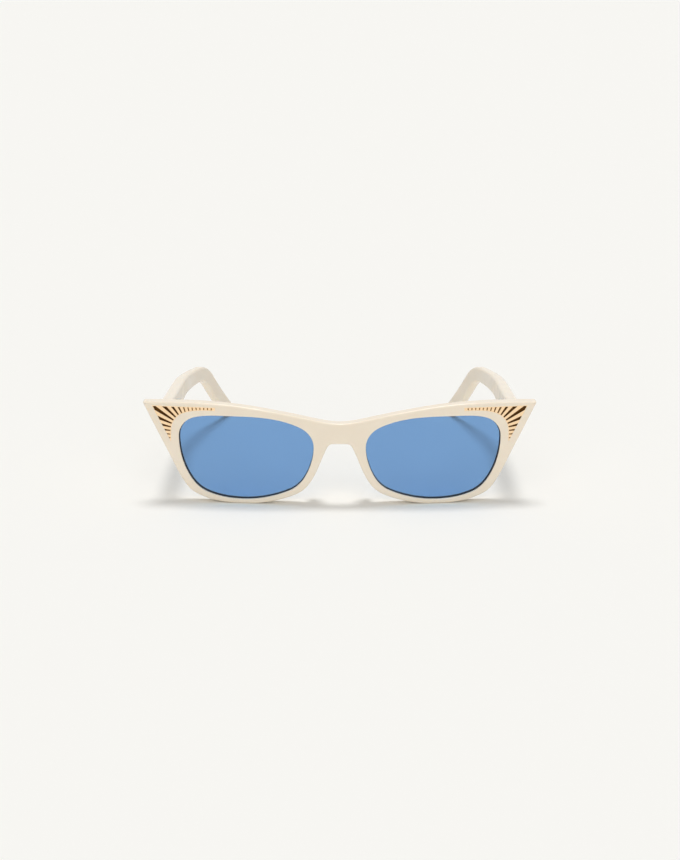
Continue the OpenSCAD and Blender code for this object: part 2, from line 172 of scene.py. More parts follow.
@dataclass(frozen=True)
class Layout:
    """The part's sizes and what follows from them, for the wearer's left, in millimetres."""

    lens_w: float = 50.4
    lens_h: float = 32.1
    lens_t: float = 1.8
    groove_depth: float = 0.7
    lens_depth: float = 0.8
    bridge_w: float = 19.4
    front_t: float = 4.4
    front_bow_r: float = 400.0
    rim_bottom: float = 1.7
    brow_h: float = 4.7
    wing_reach: float = 13.4
    bridge_dip: float = 2.4
    bridge_h: float = 7.9
    temple_t: float = 4.4
    tip_t: float = 2.6
    temple_h: float = 10.0
    tip_h: float = 6.2
    ear_reach: float = 86.0
    temple_slope: float = 4.7
    tip_slope: float = 46.0
    ear_bend_r: float = 20.0
    bow_start: float = 50.0
    temple_bow_r: float = 150.0
    knuckle_r: float = 1.6
    knuckle_h: float = 1.6
    screw_r: float = 0.7
    plate_t: float = 1.0
    rivet_r: float = 0.6
    trim_t: float = 0.8
    ray_depth: float = 0.5
    ray_count: int = 17
    slide_gap: float = 0.05
    butt_gap: float = 0.15
    lens_gap: float = 0.1
    trim_inset: float = 0.1
    trim_border: float = 0.2
    rivet_rise: float = 2.1

    @property
    def lens_x0(self) -> float:
        """Nasal edge of the lens opening."""
        return self.bridge_w / 2

    @property
    def lens_x1(self) -> float:
        """Outer edge of the lens opening."""
        return self.lens_x0 + self.lens_w

    @property
    def half_w(self) -> float:
        """Half the width over the pointed corners."""
        return self.lens_x1 + self.wing_reach

    @property
    def top_z(self) -> float:
        """Height of the pointed corners."""
        return self.rim_bottom + self.lens_h + self.brow_h

    @property
    def bridge_z(self) -> float:
        """Height of the brow's middle."""
        return self.rim_bottom + self.lens_h - self.bridge_dip

    @property
    def trim_top(self) -> float:
        """Height of the trim's upper edge."""
        return self.top_z - 1.6

    @property
    def trim_tail_x(self) -> float:
        """Where the trim's tail starts over the lens."""
        return self.lens_x0 + 0.725 * self.lens_w

    @property
    def temple_x(self) -> float:
        """Outer face of the temple at the hinge."""
        return self.half_w - 6.6

    @property
    def inner_x(self) -> float:
        """Inner face of the temple at the hinge."""
        return self.temple_x - self.temple_t

    @property
    def hinge_z(self) -> float:
        """Height of the hinge's middle."""
        return self.top_z - 5.3

    @property
    def pin_x(self) -> float:
        """How far to the side the hinge's pin stands."""
        return self.inner_x - self.knuckle_r - 0.35

    @property
    def pin_y(self) -> float:
        """How far behind the front's face the hinge's pin stands."""
        return self.layer_y(self.pin_x, self.front_t) + self.knuckle_r + 0.9

    @property
    def barrel_h(self) -> float:
        """Height of the five knuckles with their gaps."""
        return 5 * self.knuckle_h + 4 * self.slide_gap

    @property
    def rivet_y(self) -> float:
        """How far back the temple's rivets are."""
        return self.pin_y + 5.6

    @property
    def trim_corner(self) -> Vector:
        """The trim's outer upper corner, seen from the front."""
        return Vector((self.half_w - 3.5, self.trim_top))

    def layer_y(self, x: float, depth: float) -> float:
        """How far back the bowed front's surface at a depth lies, x to the side."""
        return self.front_bow_r - math.sqrt((self.front_bow_r - depth) ** 2 - x * x)

    def bowed(self, point: Vector) -> Vector:
        """A point of the flat front, put where the bow takes it."""
        return Vector((point.x, self.layer_y(point.x, point.y), point.z))

    def lens_outline(self, growth: float = 0.0) -> list[Vector]:
        """The lens opening seen from the front, clockwise."""
        marks = (
            (0.62, 1, 0),
            (0.88, 0.976, -14),
            (1, 0.74, -90),
            (0.92, 0.26, -121),
            (0.8, 0.08, -156),
            (0.52, 0, 180),
            (0.18, 0.115, 156),
            (0.066, 0.28, 120),
            (0, 0.64, 90),
            (0.1, 0.875, 26),
        )
        knots = [
            Knot(self.lens_x0 + u * self.lens_w, self.rim_bottom + w * self.lens_h, angle)
            for u, w, angle in marks
        ]
        return curve([k.moved(growth) for k in knots], closed=True)

    def front_outline(self) -> list[Vector]:
        """The whole front seen from the front, clockwise."""
        x0, w, z0, h = self.lens_x0, self.lens_w, self.rim_bottom, self.lens_h
        low_z = self.bridge_z - self.bridge_h
        half = curve(
            [
                Knot(0, self.bridge_z, 0),
                Knot(x0 + 3, self.bridge_z + 2, 12),
                Knot(x0 + 0.6 * w, self.top_z - 0.6, 5.5),
                Knot(self.half_w - 0.7, self.top_z - 0.3, -3),
                Knot(self.half_w - 0.15, self.top_z - 0.9, -116),
                Knot(self.lens_x1 + 4, z0 + 0.53 * h, -116),
                Knot(x0 + 0.94 * w, z0 + 0.13 * h, -128),
                Knot(x0 + 0.81 * w, 1.9, -160),
                Knot(x0 + 0.57 * w, 0, 180),
                Knot(x0 + 0.47 * w, 0, 180),
                Knot(x0 + 0.22 * w, 2.2, 163),
                Knot(x0 + 2.6, z0 + 0.16 * h, 131),
                Knot(x0 - 4, low_z - 3.6, 114),
                Knot(x0 - 7, low_z, 180),
                Knot(0, low_z, 180),
            ]
        )
        return half[:-1] + mirrored(half)[:-1]

    def trim_edge(self, inset: float = 0.0) -> list[Vector]:
        """The trim's edge along the lens, from its tail to its lower end."""
        knots = (
            Knot(self.trim_tail_x, self.trim_top - 1.2, 0),
            Knot(self.lens_x1 - 1.8, self.trim_top - 2.5, -22),
            Knot(self.lens_x1 + 2.5, self.trim_top - 7.1, -73),
            Knot(self.lens_x1 + 3, self.trim_top - 13.6, -88),
        )
        return curve([k.moved(inset) for k in knots], pitch=0.5)

    def trim_outline(self, inset: float = 0.0) -> list[Vector]:
        """The trim seen from the front, clockwise."""
        corner = self.trim_corner - inset * Vector((1.6, 1.0))
        tail = Vector((self.trim_tail_x + inset, self.trim_top - inset))
        edge = self.trim_edge(inset)
        return [
            *edge,
            *evenly(edge[-1], corner),
            corner,
            *evenly(corner, tail),
            tail,
            *evenly(tail, edge[0]),
        ][::-1]

    def differs(self) -> list[str]:
        """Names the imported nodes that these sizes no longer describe."""
        front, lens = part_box("front_frame"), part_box("lens_left")
        grip = self.groove_depth - self.lens_gap
        pairs = {
            "front_frame": (front[1].z - front[0].z, self.top_z, 0.3),
            "lens_left": (lens[1].x - lens[0].x, self.lens_w + 2 * grip, 0.1),
        }
        return [n for n, (real, said, slack) in pairs.items() if abs(real / MM - said) > slack]


def encloses(outline: Sequence[Vector], point: Vector) -> bool:
    """Whether a closed outline goes round a point."""
    crossings = 0
    for i, b in enumerate(outline):
        a = outline[i - 1]
        if (a.y > point.y) != (b.y > point.y):
            crossings += a.x + (point.y - a.y) / (b.y - a.y) * (b.x - a.x) > point.x
    return crossings % 2 == 1


def evenly(start: Vector, end: Vector, pitch: float = 0.8) -> list[Vector]:
    """Points on a straight line after its start and before its end."""
    steps = max(1, math.ceil((end - start).length / pitch))
    return [start.lerp(end, i / steps) for i in range(1, steps)]


# ---- meshes ----
class Shell:
    """A closed skin put together from rings of points, in millimetres."""

    def __init__(self) -> None:
        """Starts an empty skin."""
        self.mesh = bmesh.new()

    def ring(self, points: Iterable[Vector]) -> list[bmesh.types.BMVert]:
        """Adds points that a band or a fill can join."""
        return [self.mesh.verts.new(p) for p in points]

    def flat_ring(self, outline: Iterable[Vector], depth: float) -> list[bmesh.types.BMVert]:
        """Adds an outline seen from the front as a ring at a depth."""
        return self.ring(Vector((p.x, depth, p.y)) for p in outline)

    def bands(self, rings: Sequence[list[bmesh.types.BMVert]], material: int = 0) -> None:
        """Joins each ring to the next with a strip of quads.

        Args:
            rings: rings with equally many points, in order.
            material: the strips' material slot.
        """
        for a, b in zip(rings, rings[1:]):
            for i in range(len(a)):
                j = (i + 1) % len(a)
                face = self.mesh.faces.new((a[i], a[j], b[j], b[i]))
                face.material_index = material

    def cap(self, ring: list[bmesh.types.BMVert], material: int = 0) -> None:
        """Closes a small ring with a fan of triangles round its middle."""
        middle = self.mesh.verts.new(sum((v.co for v in ring), Vector()) / len(ring))
        for i, vert in enumerate(ring):
            face = self.mesh.faces.new((vert, ring[(i + 1) % len(ring)], middle))
            face.material_index = material

    def fill(
        self, rings: Sequence[list[bmesh.types.BMVert]], pitch: float, material: int = 0
    ) -> None:
        """Fills a flat face that faces the front or the back.

        Args:
            rings: the face's outline, then its holes, all at one depth.
            pitch: spacing of the points laid inside, so that the face can bend.
            material: the face's material slot.
        """
        known = [v for ring in rings for v in ring]
        spots = [Vector((v.co.x, v.co.z)) for v in known]
        edges, first = [], 0
        for ring in rings:
            edges += [(first + i, first + (i + 1) % len(ring)) for i in range(len(ring))]
            first += len(ring)
        near = KDTree(len(spots))
        for i, p in enumerate(spots):
            near.insert((p.x, p.y, 0), i)
        near.balance()
        room = 0.6 * pitch  # the nearest that a point inside comes to the rings
        lo = [min(p[k] for p in spots) for k in (0, 1)]
        hi = [max(p[k] for p in spots) for k in (0, 1)]
        for i in range(1, math.ceil((hi[0] - lo[0]) / pitch)):
            for j in range(1, math.ceil((hi[1] - lo[1]) / pitch)):
                p = Vector((lo[0] + i * pitch, lo[1] + j * pitch))
                if near.find((p.x, p.y, 0))[2] > room:
                    spots.append(p)
        within_outline, tolerance = 1, 1e-6
        found = delaunay_2d_cdt(spots, edges, [], within_outline, tolerance)
        holes = [[Vector((v.co.x, v.co.z)) for v in ring] for ring in rings[1:]]
        depth = known[0].co.y
        verts: dict[int, bmesh.types.BMVert] = {}
        for triangle in found[2]:
            middle = sum((found[0][k] for k in triangle), Vector((0, 0))) / 3
            if any(encloses(hole, middle) for hole in holes):
                continue
            for k in triangle:
                if k not in verts:
                    sources = [s for s in found[3][k] if s < len(known)]
                    p = found[0][k]
                    verts[k] = (
                        known[sources[0]] if sources else self.mesh.verts.new((p.x, depth, p.y))
                    )
            corners = [verts[k] for k in triangle]
            if len(set(corners)) == 3 and not self.mesh.faces.get(corners):
                self.mesh.faces.new(corners).material_index = material

    def block(self, lo: Sequence[float], hi: Sequence[float], bevel: float) -> None:
        """Adds a box with rounded edges, between its lowest and highest corner."""
        size = Vector(hi) - Vector(lo)
        place = Matrix.Translation((Vector(hi) + Vector(lo)) / 2) @ Matrix.Diagonal((*size, 1))
        made = bmesh.ops.create_cube(self.mesh, size=1, matrix=place)
        edges = list({e for v in made["verts"] for e in v.link_edges})
        bmesh.ops.bevel(
            self.mesh, geom=edges, offset=bevel, segments=3, affect="EDGES", profile=0.5
        )

    def add(self, mesh: bpy.types.Mesh) -> None:
        """Adds another mesh that is in millimetres, and drops it."""
        self.mesh.from_mesh(mesh)
        bpy.data.meshes.remove(mesh)

    def moved(self, place: Callable[[Vector], Vector]) -> Shell:
        """Puts every point where place says."""
        for vert in self.mesh.verts:
            vert.co = place(vert.co)
        return self

    def sliced(self, pitch: float) -> Shell:
        """Cuts long faces at upright planes across the front, so that they can bend."""
        xs = [v.co.x for v in self.mesh.verts]
        x = min(xs) + pitch
        while x < max(xs):
            everything = [*self.mesh.verts, *self.mesh.edges, *self.mesh.faces]
            bmesh.ops.bisect_plane(
                self.mesh, geom=everything, plane_co=(x, 0, 0), plane_no=(1, 0, 0), dist=1e-5
            )
            x += pitch
        bmesh.ops.triangulate(self.mesh, faces=[f for f in self.mesh.faces if len(f.verts) > 4])
        return self

    def as_mesh(self, name: str) -> bpy.types.Mesh:
        """Hands the skin over as a mesh in millimetres."""
        mesh = bpy.data.meshes.new(name)
        self.mesh.to_mesh(mesh)
        self.mesh.free()
        return mesh

    def as_object(
        self, name: str, finishes: Sequence[bpy.types.Material], side: Side = Side.LEFT
    ) -> bpy.types.Object:
        """Turns the skin into a piece in the CAD frame, its normals outwards.

        Args:
            name: the piece's name.
            finishes: the materials of its slots.
            side: the side that the piece is for; the right one is the left one's mirror image.

        Returns:
            The piece, at the origin, with smooth faces and creased edges.
        """
        front_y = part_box("front_frame")[0].y
        for vert in self.mesh.verts:
            x, y, z = vert.co * MM
            vert.co = (side.value * x, y + front_y, z)
        bmesh.ops.remove_doubles(self.mesh, verts=self.mesh.verts, dist=2e-3 * MM)
        bmesh.ops.recalc_face_normals(self.mesh, faces=self.mesh.faces)
        mesh = self.as_mesh(name)
        mesh.shade_smooth()
        mesh.set_sharp_from_angle(angle=CREASE)
        for finish in finishes:
            mesh.materials.append(finish)
        piece = bpy.data.objects.new(name, mesh)
        bpy.context.scene.collection.objects.link(piece)
        return piece


def evaluated(piece: bpy.types.Object) -> bpy.types.Mesh:
    """A piece's mesh as its modifiers leave it."""
    bpy.context.view_layer.update()
    graph = bpy.context.evaluated_depsgraph_get()
    return bpy.data.meshes.new_from_object(
        piece.evaluated_get(graph), preserve_all_data_layers=True, depsgraph=graph
    )


def scratch(name: str, mesh: bpy.types.Mesh) -> bpy.types.Object:
    """An object that is only there to be worked on."""
    made = bpy.data.objects.new(name, mesh)
    bpy.context.scene.collection.objects.link(made)
    return made


def discard(*objects: bpy.types.Object) -> None:
    """Removes objects that were only worked on, with their meshes."""
    for old in objects:
        mesh = old.data
        bpy.data.objects.remove(old)
        bpy.data.meshes.remove(mesh)


def flatter_faces(piece: bpy.types.Object) -> None:
    """Lets the broad faces lead the shading of the rounded edges beside them."""
    weighted = piece.modifiers.new("Broad faces lead", "WEIGHTED_NORMAL")
    weighted.keep_sharp = True
    weighted.weight = 80


# ---- node trees ----
NodeInput = float | int | bool | Sequence[float] | bpy.types.NodeSocket | bpy.types.Material


def add_node(
    tree: bpy.types.NodeTree,
    kind: str,
    inputs: dict[str | int, NodeInput] | None = None,
    **settings: object,
) -> bpy.types.Node:
    """Adds one node to a tree.

    Args:
        tree: the shader or geometry tree.
        kind: the node's type.
        inputs: for a socket's name or number, its value or the output that is linked to it.
        settings: the node's own settings.

    Returns:
        The node.
    """
    node = tree.nodes.new(kind)
    for name, value in settings.items():
        setattr(node, name, value)
    for key, value in (inputs or {}).items():
        if isinstance(value, bpy.types.NodeSocket):
            tree.links.new(value, node.inputs[key])
        else:
            node.inputs[key].default_value = value
    return node


class Growth:
    """A Geometry Nodes tree with named inputs, which turns a seed mesh into a plain mesh."""

    SOCKETS = {float: "NodeSocketFloat", int: "NodeSocketInt", bpy.types.Object: "NodeSocketObject"}

    def __init__(self, name: str, sizes: dict[str, float | int | bpy.types.Object]) -> None:
        """Makes the tree and its inputs.

        Args:
            name: the tree's name.
            sizes: each named input with the value that it takes.
        """
        self.sizes = sizes
        self.tree = bpy.data.node_groups.new(name, "GeometryNodeTree")
        face = self.tree.interface
        face.new_socket("Geometry", in_out="INPUT", socket_type="NodeSocketGeometry")
        face.new_socket("Geometry", in_out="OUTPUT", socket_type="NodeSocketGeometry")
        for label, value in sizes.items():
            face.new_socket(label, in_out="INPUT", socket_type=self.SOCKETS[type(value)])
        self.given = self.node("NodeGroupInput").outputs

    def node(
        self, kind: str, inputs: dict[str | int, NodeInput] | None = None, **settings: object
    ) -> bpy.types.Node:
        """Adds one node to this tree."""
        return add_node(self.tree, kind, inputs, **settings)

    def finish(self, shape: bpy.types.NodeSocket, material: bpy.types.Material | None) -> None:
        """Ends the tree in Realize Instances and, where one material covers all, Set Material."""
        real = self.node("GeometryNodeRealizeInstances", {"Geometry": shape}).outputs[0]
        if material:
            real = self.node(
                "GeometryNodeSetMaterial", {"Geometry": real, "Material": material}
            ).outputs[0]
        self.node("NodeGroupOutput", {"Geometry": real})

    def grow(self, seed: bpy.types.Mesh) -> bpy.types.Mesh:
        """Runs the tree on a seed mesh, which it drops, and returns the result."""
        host = scratch("seed", seed)
        modifier = host.modifiers.new("Grow", "NODES")
        modifier.node_group = self.tree
        for item in self.tree.interface.items_tree:
            if item.in_out == "INPUT" and item.name in self.sizes:
                modifier[item.identifier] = self.sizes[item.name]
        mesh = evaluated(host)
        host.modifiers.remove(modifier)
        discard(host)
        return mesh


def points_mesh(places: Iterable[Vector], axes: Iterable[Vector]) -> bpy.types.Mesh:
    """Loose points with an "axis" attribute that says which way the piece on each one stands."""
    mesh = bpy.data.meshes.new("points")
    mesh.from_pydata([tuple(p) for p in places], [], [])
    axis = mesh.attributes.new("axis", "FLOAT_VECTOR", "POINT")
    axis.data.foreach_set("vector", [c for a in axes for c in a])
    return mesh


# ---- finishes ----
def linear(code: str) -> tuple[float, float, float, float]:
    """The linear colour of an sRGB hex code."""
    parts = [int(code[i : i + 2], 16) / 255 for i in (1, 3, 5)]
    light = [c / 12.92 if c <= 0.04045 else ((c + 0.055) / 1.055) ** 2.4 for c in parts]
    return (*light, 1.0)


def per_metre(size: float) -> float:
    """The scale that gives a pattern features of a size in millimetres."""
    return 1 / (size * MM)


@dataclass(frozen=True)
class Finish:
    """What every finish has: two near colours that a soft pattern mixes, and a range of roughness."""

    name: str
    light: str
    dark: str
    patch: float
    smooth: float
    rough: float

    def begin(self) -> tuple[bpy.types.NodeTree, bpy.types.NodeSocket, bpy.types.Material]:
        """Makes an empty material, and the Object coordinates that its patterns read."""
        material = bpy.data.materials.new(self.name)
        material.use_nodes = True
        material.node_tree.nodes.clear()
        place = add_node(material.node_tree, "ShaderNodeTexCoord").outputs["Object"]
        return material.node_tree, place, material

    def colour(
        self, tree: bpy.types.NodeTree, place: bpy.types.NodeSocket
    ) -> tuple[bpy.types.NodeSocket, bpy.types.NodeSocket]:
        """Mixes the two colours and the roughness by one soft pattern.

        Args:
            tree: the material's tree.
            place: the coordinates that the pattern reads.

        Returns:
            The colour and the roughness.
        """
        cloud = add_node(
            tree,
            "ShaderNodeTexNoise",
            {"Vector": place, "Scale": per_metre(self.patch), "Detail": 3.0, "Roughness": 0.45},
        ).outputs["Fac"]
        colour = add_node(
            tree,
            "ShaderNodeMix",
            {"Factor": cloud, 6: linear(self.light), 7: linear(self.dark)},
            data_type="RGBA",
        ).outputs[2]
        roughness = add_node(
            tree,
            "ShaderNodeMapRange",
            {
                "Value": cloud,
                "From Min": CLOUDS[0],
                "From Max": CLOUDS[1],
                3: self.smooth,
                4: self.rough,
            },
        ).outputs[0]
        return colour, roughness


@dataclass(frozen=True)
class PolishedAcetate(Finish):
    """Cellulose acetate, milled from sheet, tumbled and polished.

    The sheet is faintly cloudy, a little light enters it, and tumbling leaves the polish with
    slow ripples that a highlight shows.
    """

    name: str = "ivory cellulose acetate, tumbled and polished"
    light: str = "#F5E9D7"
    dark: str = "#EFE1CC"
    patch: float = 9.0
    smooth: float = 0.16
    rough: float = 0.26
    ripple: float = 2.5
    bleed: float = 0.6
    relief: float = 0.25

    def material(self) -> bpy.types.Material:
        """Builds the finish."""
        tree, place, material = self.begin()
        colour, roughness = self.colour(tree, place)
        ripples = add_node(
            tree,
            "ShaderNodeTexNoise",
            {"Vector": place, "Scale": per_metre(self.ripple), "Detail": 2.0},
        ).outputs["Fac"]
        relief = add_node(
            tree,
            "ShaderNodeBump",
            {"Height": ripples, "Strength": self.relief, "Distance": 0.02 * MM},
        ).outputs[0]
        surface = add_node(
            tree,
            "ShaderNodeBsdfPrincipled",
            {
                "Base Color": colour,
                "Roughness": roughness,
                "Normal": relief,
                "IOR": 1.48,
                "Subsurface Weight": 0.12,
                "Subsurface Radius": (1.0, 0.75, 0.5),
                "Subsurface Scale": self.bleed * MM,
            },
        ).outputs[0]
        add_node(tree, "ShaderNodeOutputMaterial", {"Surface": surface})
        return material


@dataclass(frozen=True)
class Metal(Finish):
    """Polished or brushed metal, with fine strokes along one way.

    The strokes are drawn coarser than a polishing mop's, so that a close view shows them.
    """

    stroke: float = 0.12
    stroke_way: tuple[float, float, float] = (0.04, 1.0, 1.0)
    relief: float = 0.15

    def material(self) -> bpy.types.Material:
        """Builds the finish."""
        tree, place, material = self.begin()
        colour, roughness = self.colour(tree, place)
        drawn = add_node(
            tree, "ShaderNodeMapping", {"Vector": place, "Scale": self.stroke_way}
        ).outputs[0]
        strokes = add_node(
            tree,
            "ShaderNodeTexNoise",
            {"Vector": drawn, "Scale": per_metre(self.stroke), "Detail": 2.0},
        ).outputs["Fac"]
        relief = add_node(
            tree,
            "ShaderNodeBump",
            {"Height": strokes, "Strength": self.relief, "Distance": 0.01 * MM},
        ).outputs[0]
        surface = add_node(
            tree,
            "ShaderNodeBsdfPrincipled",
            {"Base Color": colour, "Roughness": roughness, "Normal": relief, "Metallic": 1.0},
        ).outputs[0]
        add_node(tree, "ShaderNodeOutputMaterial", {"Surface": surface})
        return material


# Yellow gold plating over polished brass: warm, pale and soft in its reflections.
GOLD_PLATE = Metal("gold plate, polished", "#FFE2BC", "#F9D5A8", 2.0, 0.20, 0.32)
# Nickel silver hinges and rivets, stamped and then brushed: grey-white with fine strokes.
NICKEL_SILVER = Metal("nickel silver, brushed", "#D8D5CD", "#C6C2B9", 3.0, 0.24, 0.36)
# Turned steel screws: cooler and shinier than the hinge round them.
TURNED_STEEL = Metal(
    "stainless steel, turned", "#DADBDC", "#C9CACC", 1.0, 0.16, 0.26, stroke_way=(1.0, 1.0, 0.1)
)
# Flattened nickel silver wire, which stiffens the temples from inside.
CORE_WIRE = Metal("nickel silver, rolled", "#CFCBC2", "#BDB9AF", 4.0, 0.35, 0.5)


@dataclass(frozen=True)
class GoldWithPaintedGrooveShade(Finish):
    """Gold plate, its grooves painted dark brown as shade, the painted shade paling with distance from
    the corner.
    """

    name: str = "gold plate, darkened in the grooves"
    # painted shade: the dark browns stand for the shade deep in the trim's grooves
    light: str = "#62421F"
    dark: str = "#4A2E13"
    patch: float = 1.2
    smooth: float = 0.4
    rough: float = 0.55
    corner: tuple[float, float] = (0.0, 0.0)
    # painted shade, lighter farther from the corner, where the grooves are narrower
    paler_shade: str = "#94724A"
    palest_shade: str = "#B08654"
    shade_pales_from: float = 8.5
    paler_shade_at: float = 12.0
    palest_shade_at: float = 15.0

    def material(self) -> bpy.types.Material:
        """Builds the finish."""
        tree, place, material = self.begin()
        colour, roughness = self.colour(tree, place)
        spot = add_node(tree, "ShaderNodeSeparateXYZ", {0: place}).outputs
        out = add_node(tree, "ShaderNodeMath", {0: spot["X"]}, operation="ABSOLUTE").outputs[0]
        flat = add_node(tree, "ShaderNodeCombineXYZ", {"X": out, "Z": spot["Z"]}).outputs[0]
        corner = (self.corner[0] * MM, 0.0, self.corner[1] * MM)
        away = add_node(
            tree, "ShaderNodeVectorMath", {0: flat, 1: corner}, operation="DISTANCE"
        ).outputs["Value"]
        # the painted shade pales in two steps with distance from the corner
        for start, end, seen in (
            (self.shade_pales_from, self.paler_shade_at, self.paler_shade),
            (self.paler_shade_at, self.palest_shade_at, self.palest_shade),
        ):
            shade_paling = add_node(
                tree,
                "ShaderNodeMapRange",
                {"Value": away, "From Min": start * MM, "From Max": end * MM},
            ).outputs[0]
            colour = add_node(
                tree,
                "ShaderNodeMix",
                {"Factor": shade_paling, 6: colour, 7: linear(seen)},
                data_type="RGBA",
            ).outputs[2]
        surface = add_node(
            tree,
            "ShaderNodeBsdfPrincipled",
            {"Base Color": colour, "Roughness": roughness, "Metallic": 1.0},
        ).outputs[0]
        add_node(tree, "ShaderNodeOutputMaterial", {"Surface": surface})
        return material


@dataclass(frozen=True)
class DyedLens(Finish):
    """Optical resin dyed blue right through and polished.

    It tints what lies behind it, mirrors a little, and lets lamps through with a paler tint, so
    that its shadow on the table is light. The dye takes very slightly unevenly.
    """

    name: str = "blue dyed optical resin, polished"
    light: str = "#73A1D6"
    dark: str = "#709ED3"
    patch: float = 18.0
    smooth: float = 0.0
    rough: float = 0.02
    lamp_tint: str = "#9FB6B7"

    def material(self) -> bpy.types.Material:
        """Builds the finish."""
        tree, place, material = self.begin()
        colour, roughness = self.colour(tree, place)
        glass = add_node(
            tree,
            "ShaderNodeBsdfPrincipled",
            {
                "Base Color": colour,
                "Roughness": roughness,
                "IOR": 1.5,
                "Transmission Weight": 1.0,
            },
        ).outputs[0]
        passing = add_node(
            tree, "ShaderNodeBsdfTransparent", {"Color": linear(self.lamp_tint)}
        ).outputs[0]
        lamp = add_node(tree, "ShaderNodeLightPath").outputs["Is Shadow Ray"]
        surface = add_node(tree, "ShaderNodeMixShader", {0: lamp, 1: glass, 2: passing}).outputs[0]
        add_node(tree, "ShaderNodeOutputMaterial", {"Surface": surface})
        return material


@dataclass(frozen=True)
class LensEdgeAndShade(Finish):
    """The ground edge of the dyed lens, near navy: partly the dye seen through the whole width, partly
    painted shade of the rim's wall behind the lens.
    """

    name: str = "blue dyed optical resin, ground edge"
    # painted shade: near navy, darker than the dye alone, for the shaded rim wall seen through the
    # lens
    light: str = "#141B30"
    dark: str = "#0E1426"
    patch: float = 3.0
    smooth: float = 0.35
    rough: float = 0.5

    def material(self) -> bpy.types.Material:
        """Builds the finish."""
        tree, place, material = self.begin()
        colour, roughness = self.colour(tree, place)
        surface = add_node(
            tree,
            "ShaderNodeBsdfPrincipled",
            {"Base Color": colour, "Roughness": roughness, "IOR": 1.5},
        ).outputs[0]
        add_node(tree, "ShaderNodeOutputMaterial", {"Surface": surface})
        return material


@dataclass
class Finishes:
    """The materials, each built once."""

    ivory: bpy.types.Material
    lens: bpy.types.Material
    # near navy: the lens's ground edge, with painted shade
    lens_edge: bpy.types.Material
    gold: bpy.types.Material
    # gold with painted shade, for the trim's grooves
    groove: bpy.types.Material
    nickel: bpy.types.Material
    steel: bpy.types.Material
    core: bpy.types.Material

    @classmethod
    def build(cls, layout: Layout) -> Finishes:
        """Builds every finish."""
        return cls(
            PolishedAcetate().material(),
            DyedLens().material(),
            LensEdgeAndShade().material(),
            GOLD_PLATE.material(),
            GoldWithPaintedGrooveShade(corner=tuple(layout.trim_corner)).material(),
            NICKEL_SILVER.material(),
            TURNED_STEEL.material(),
            CORE_WIRE.material(),
        )


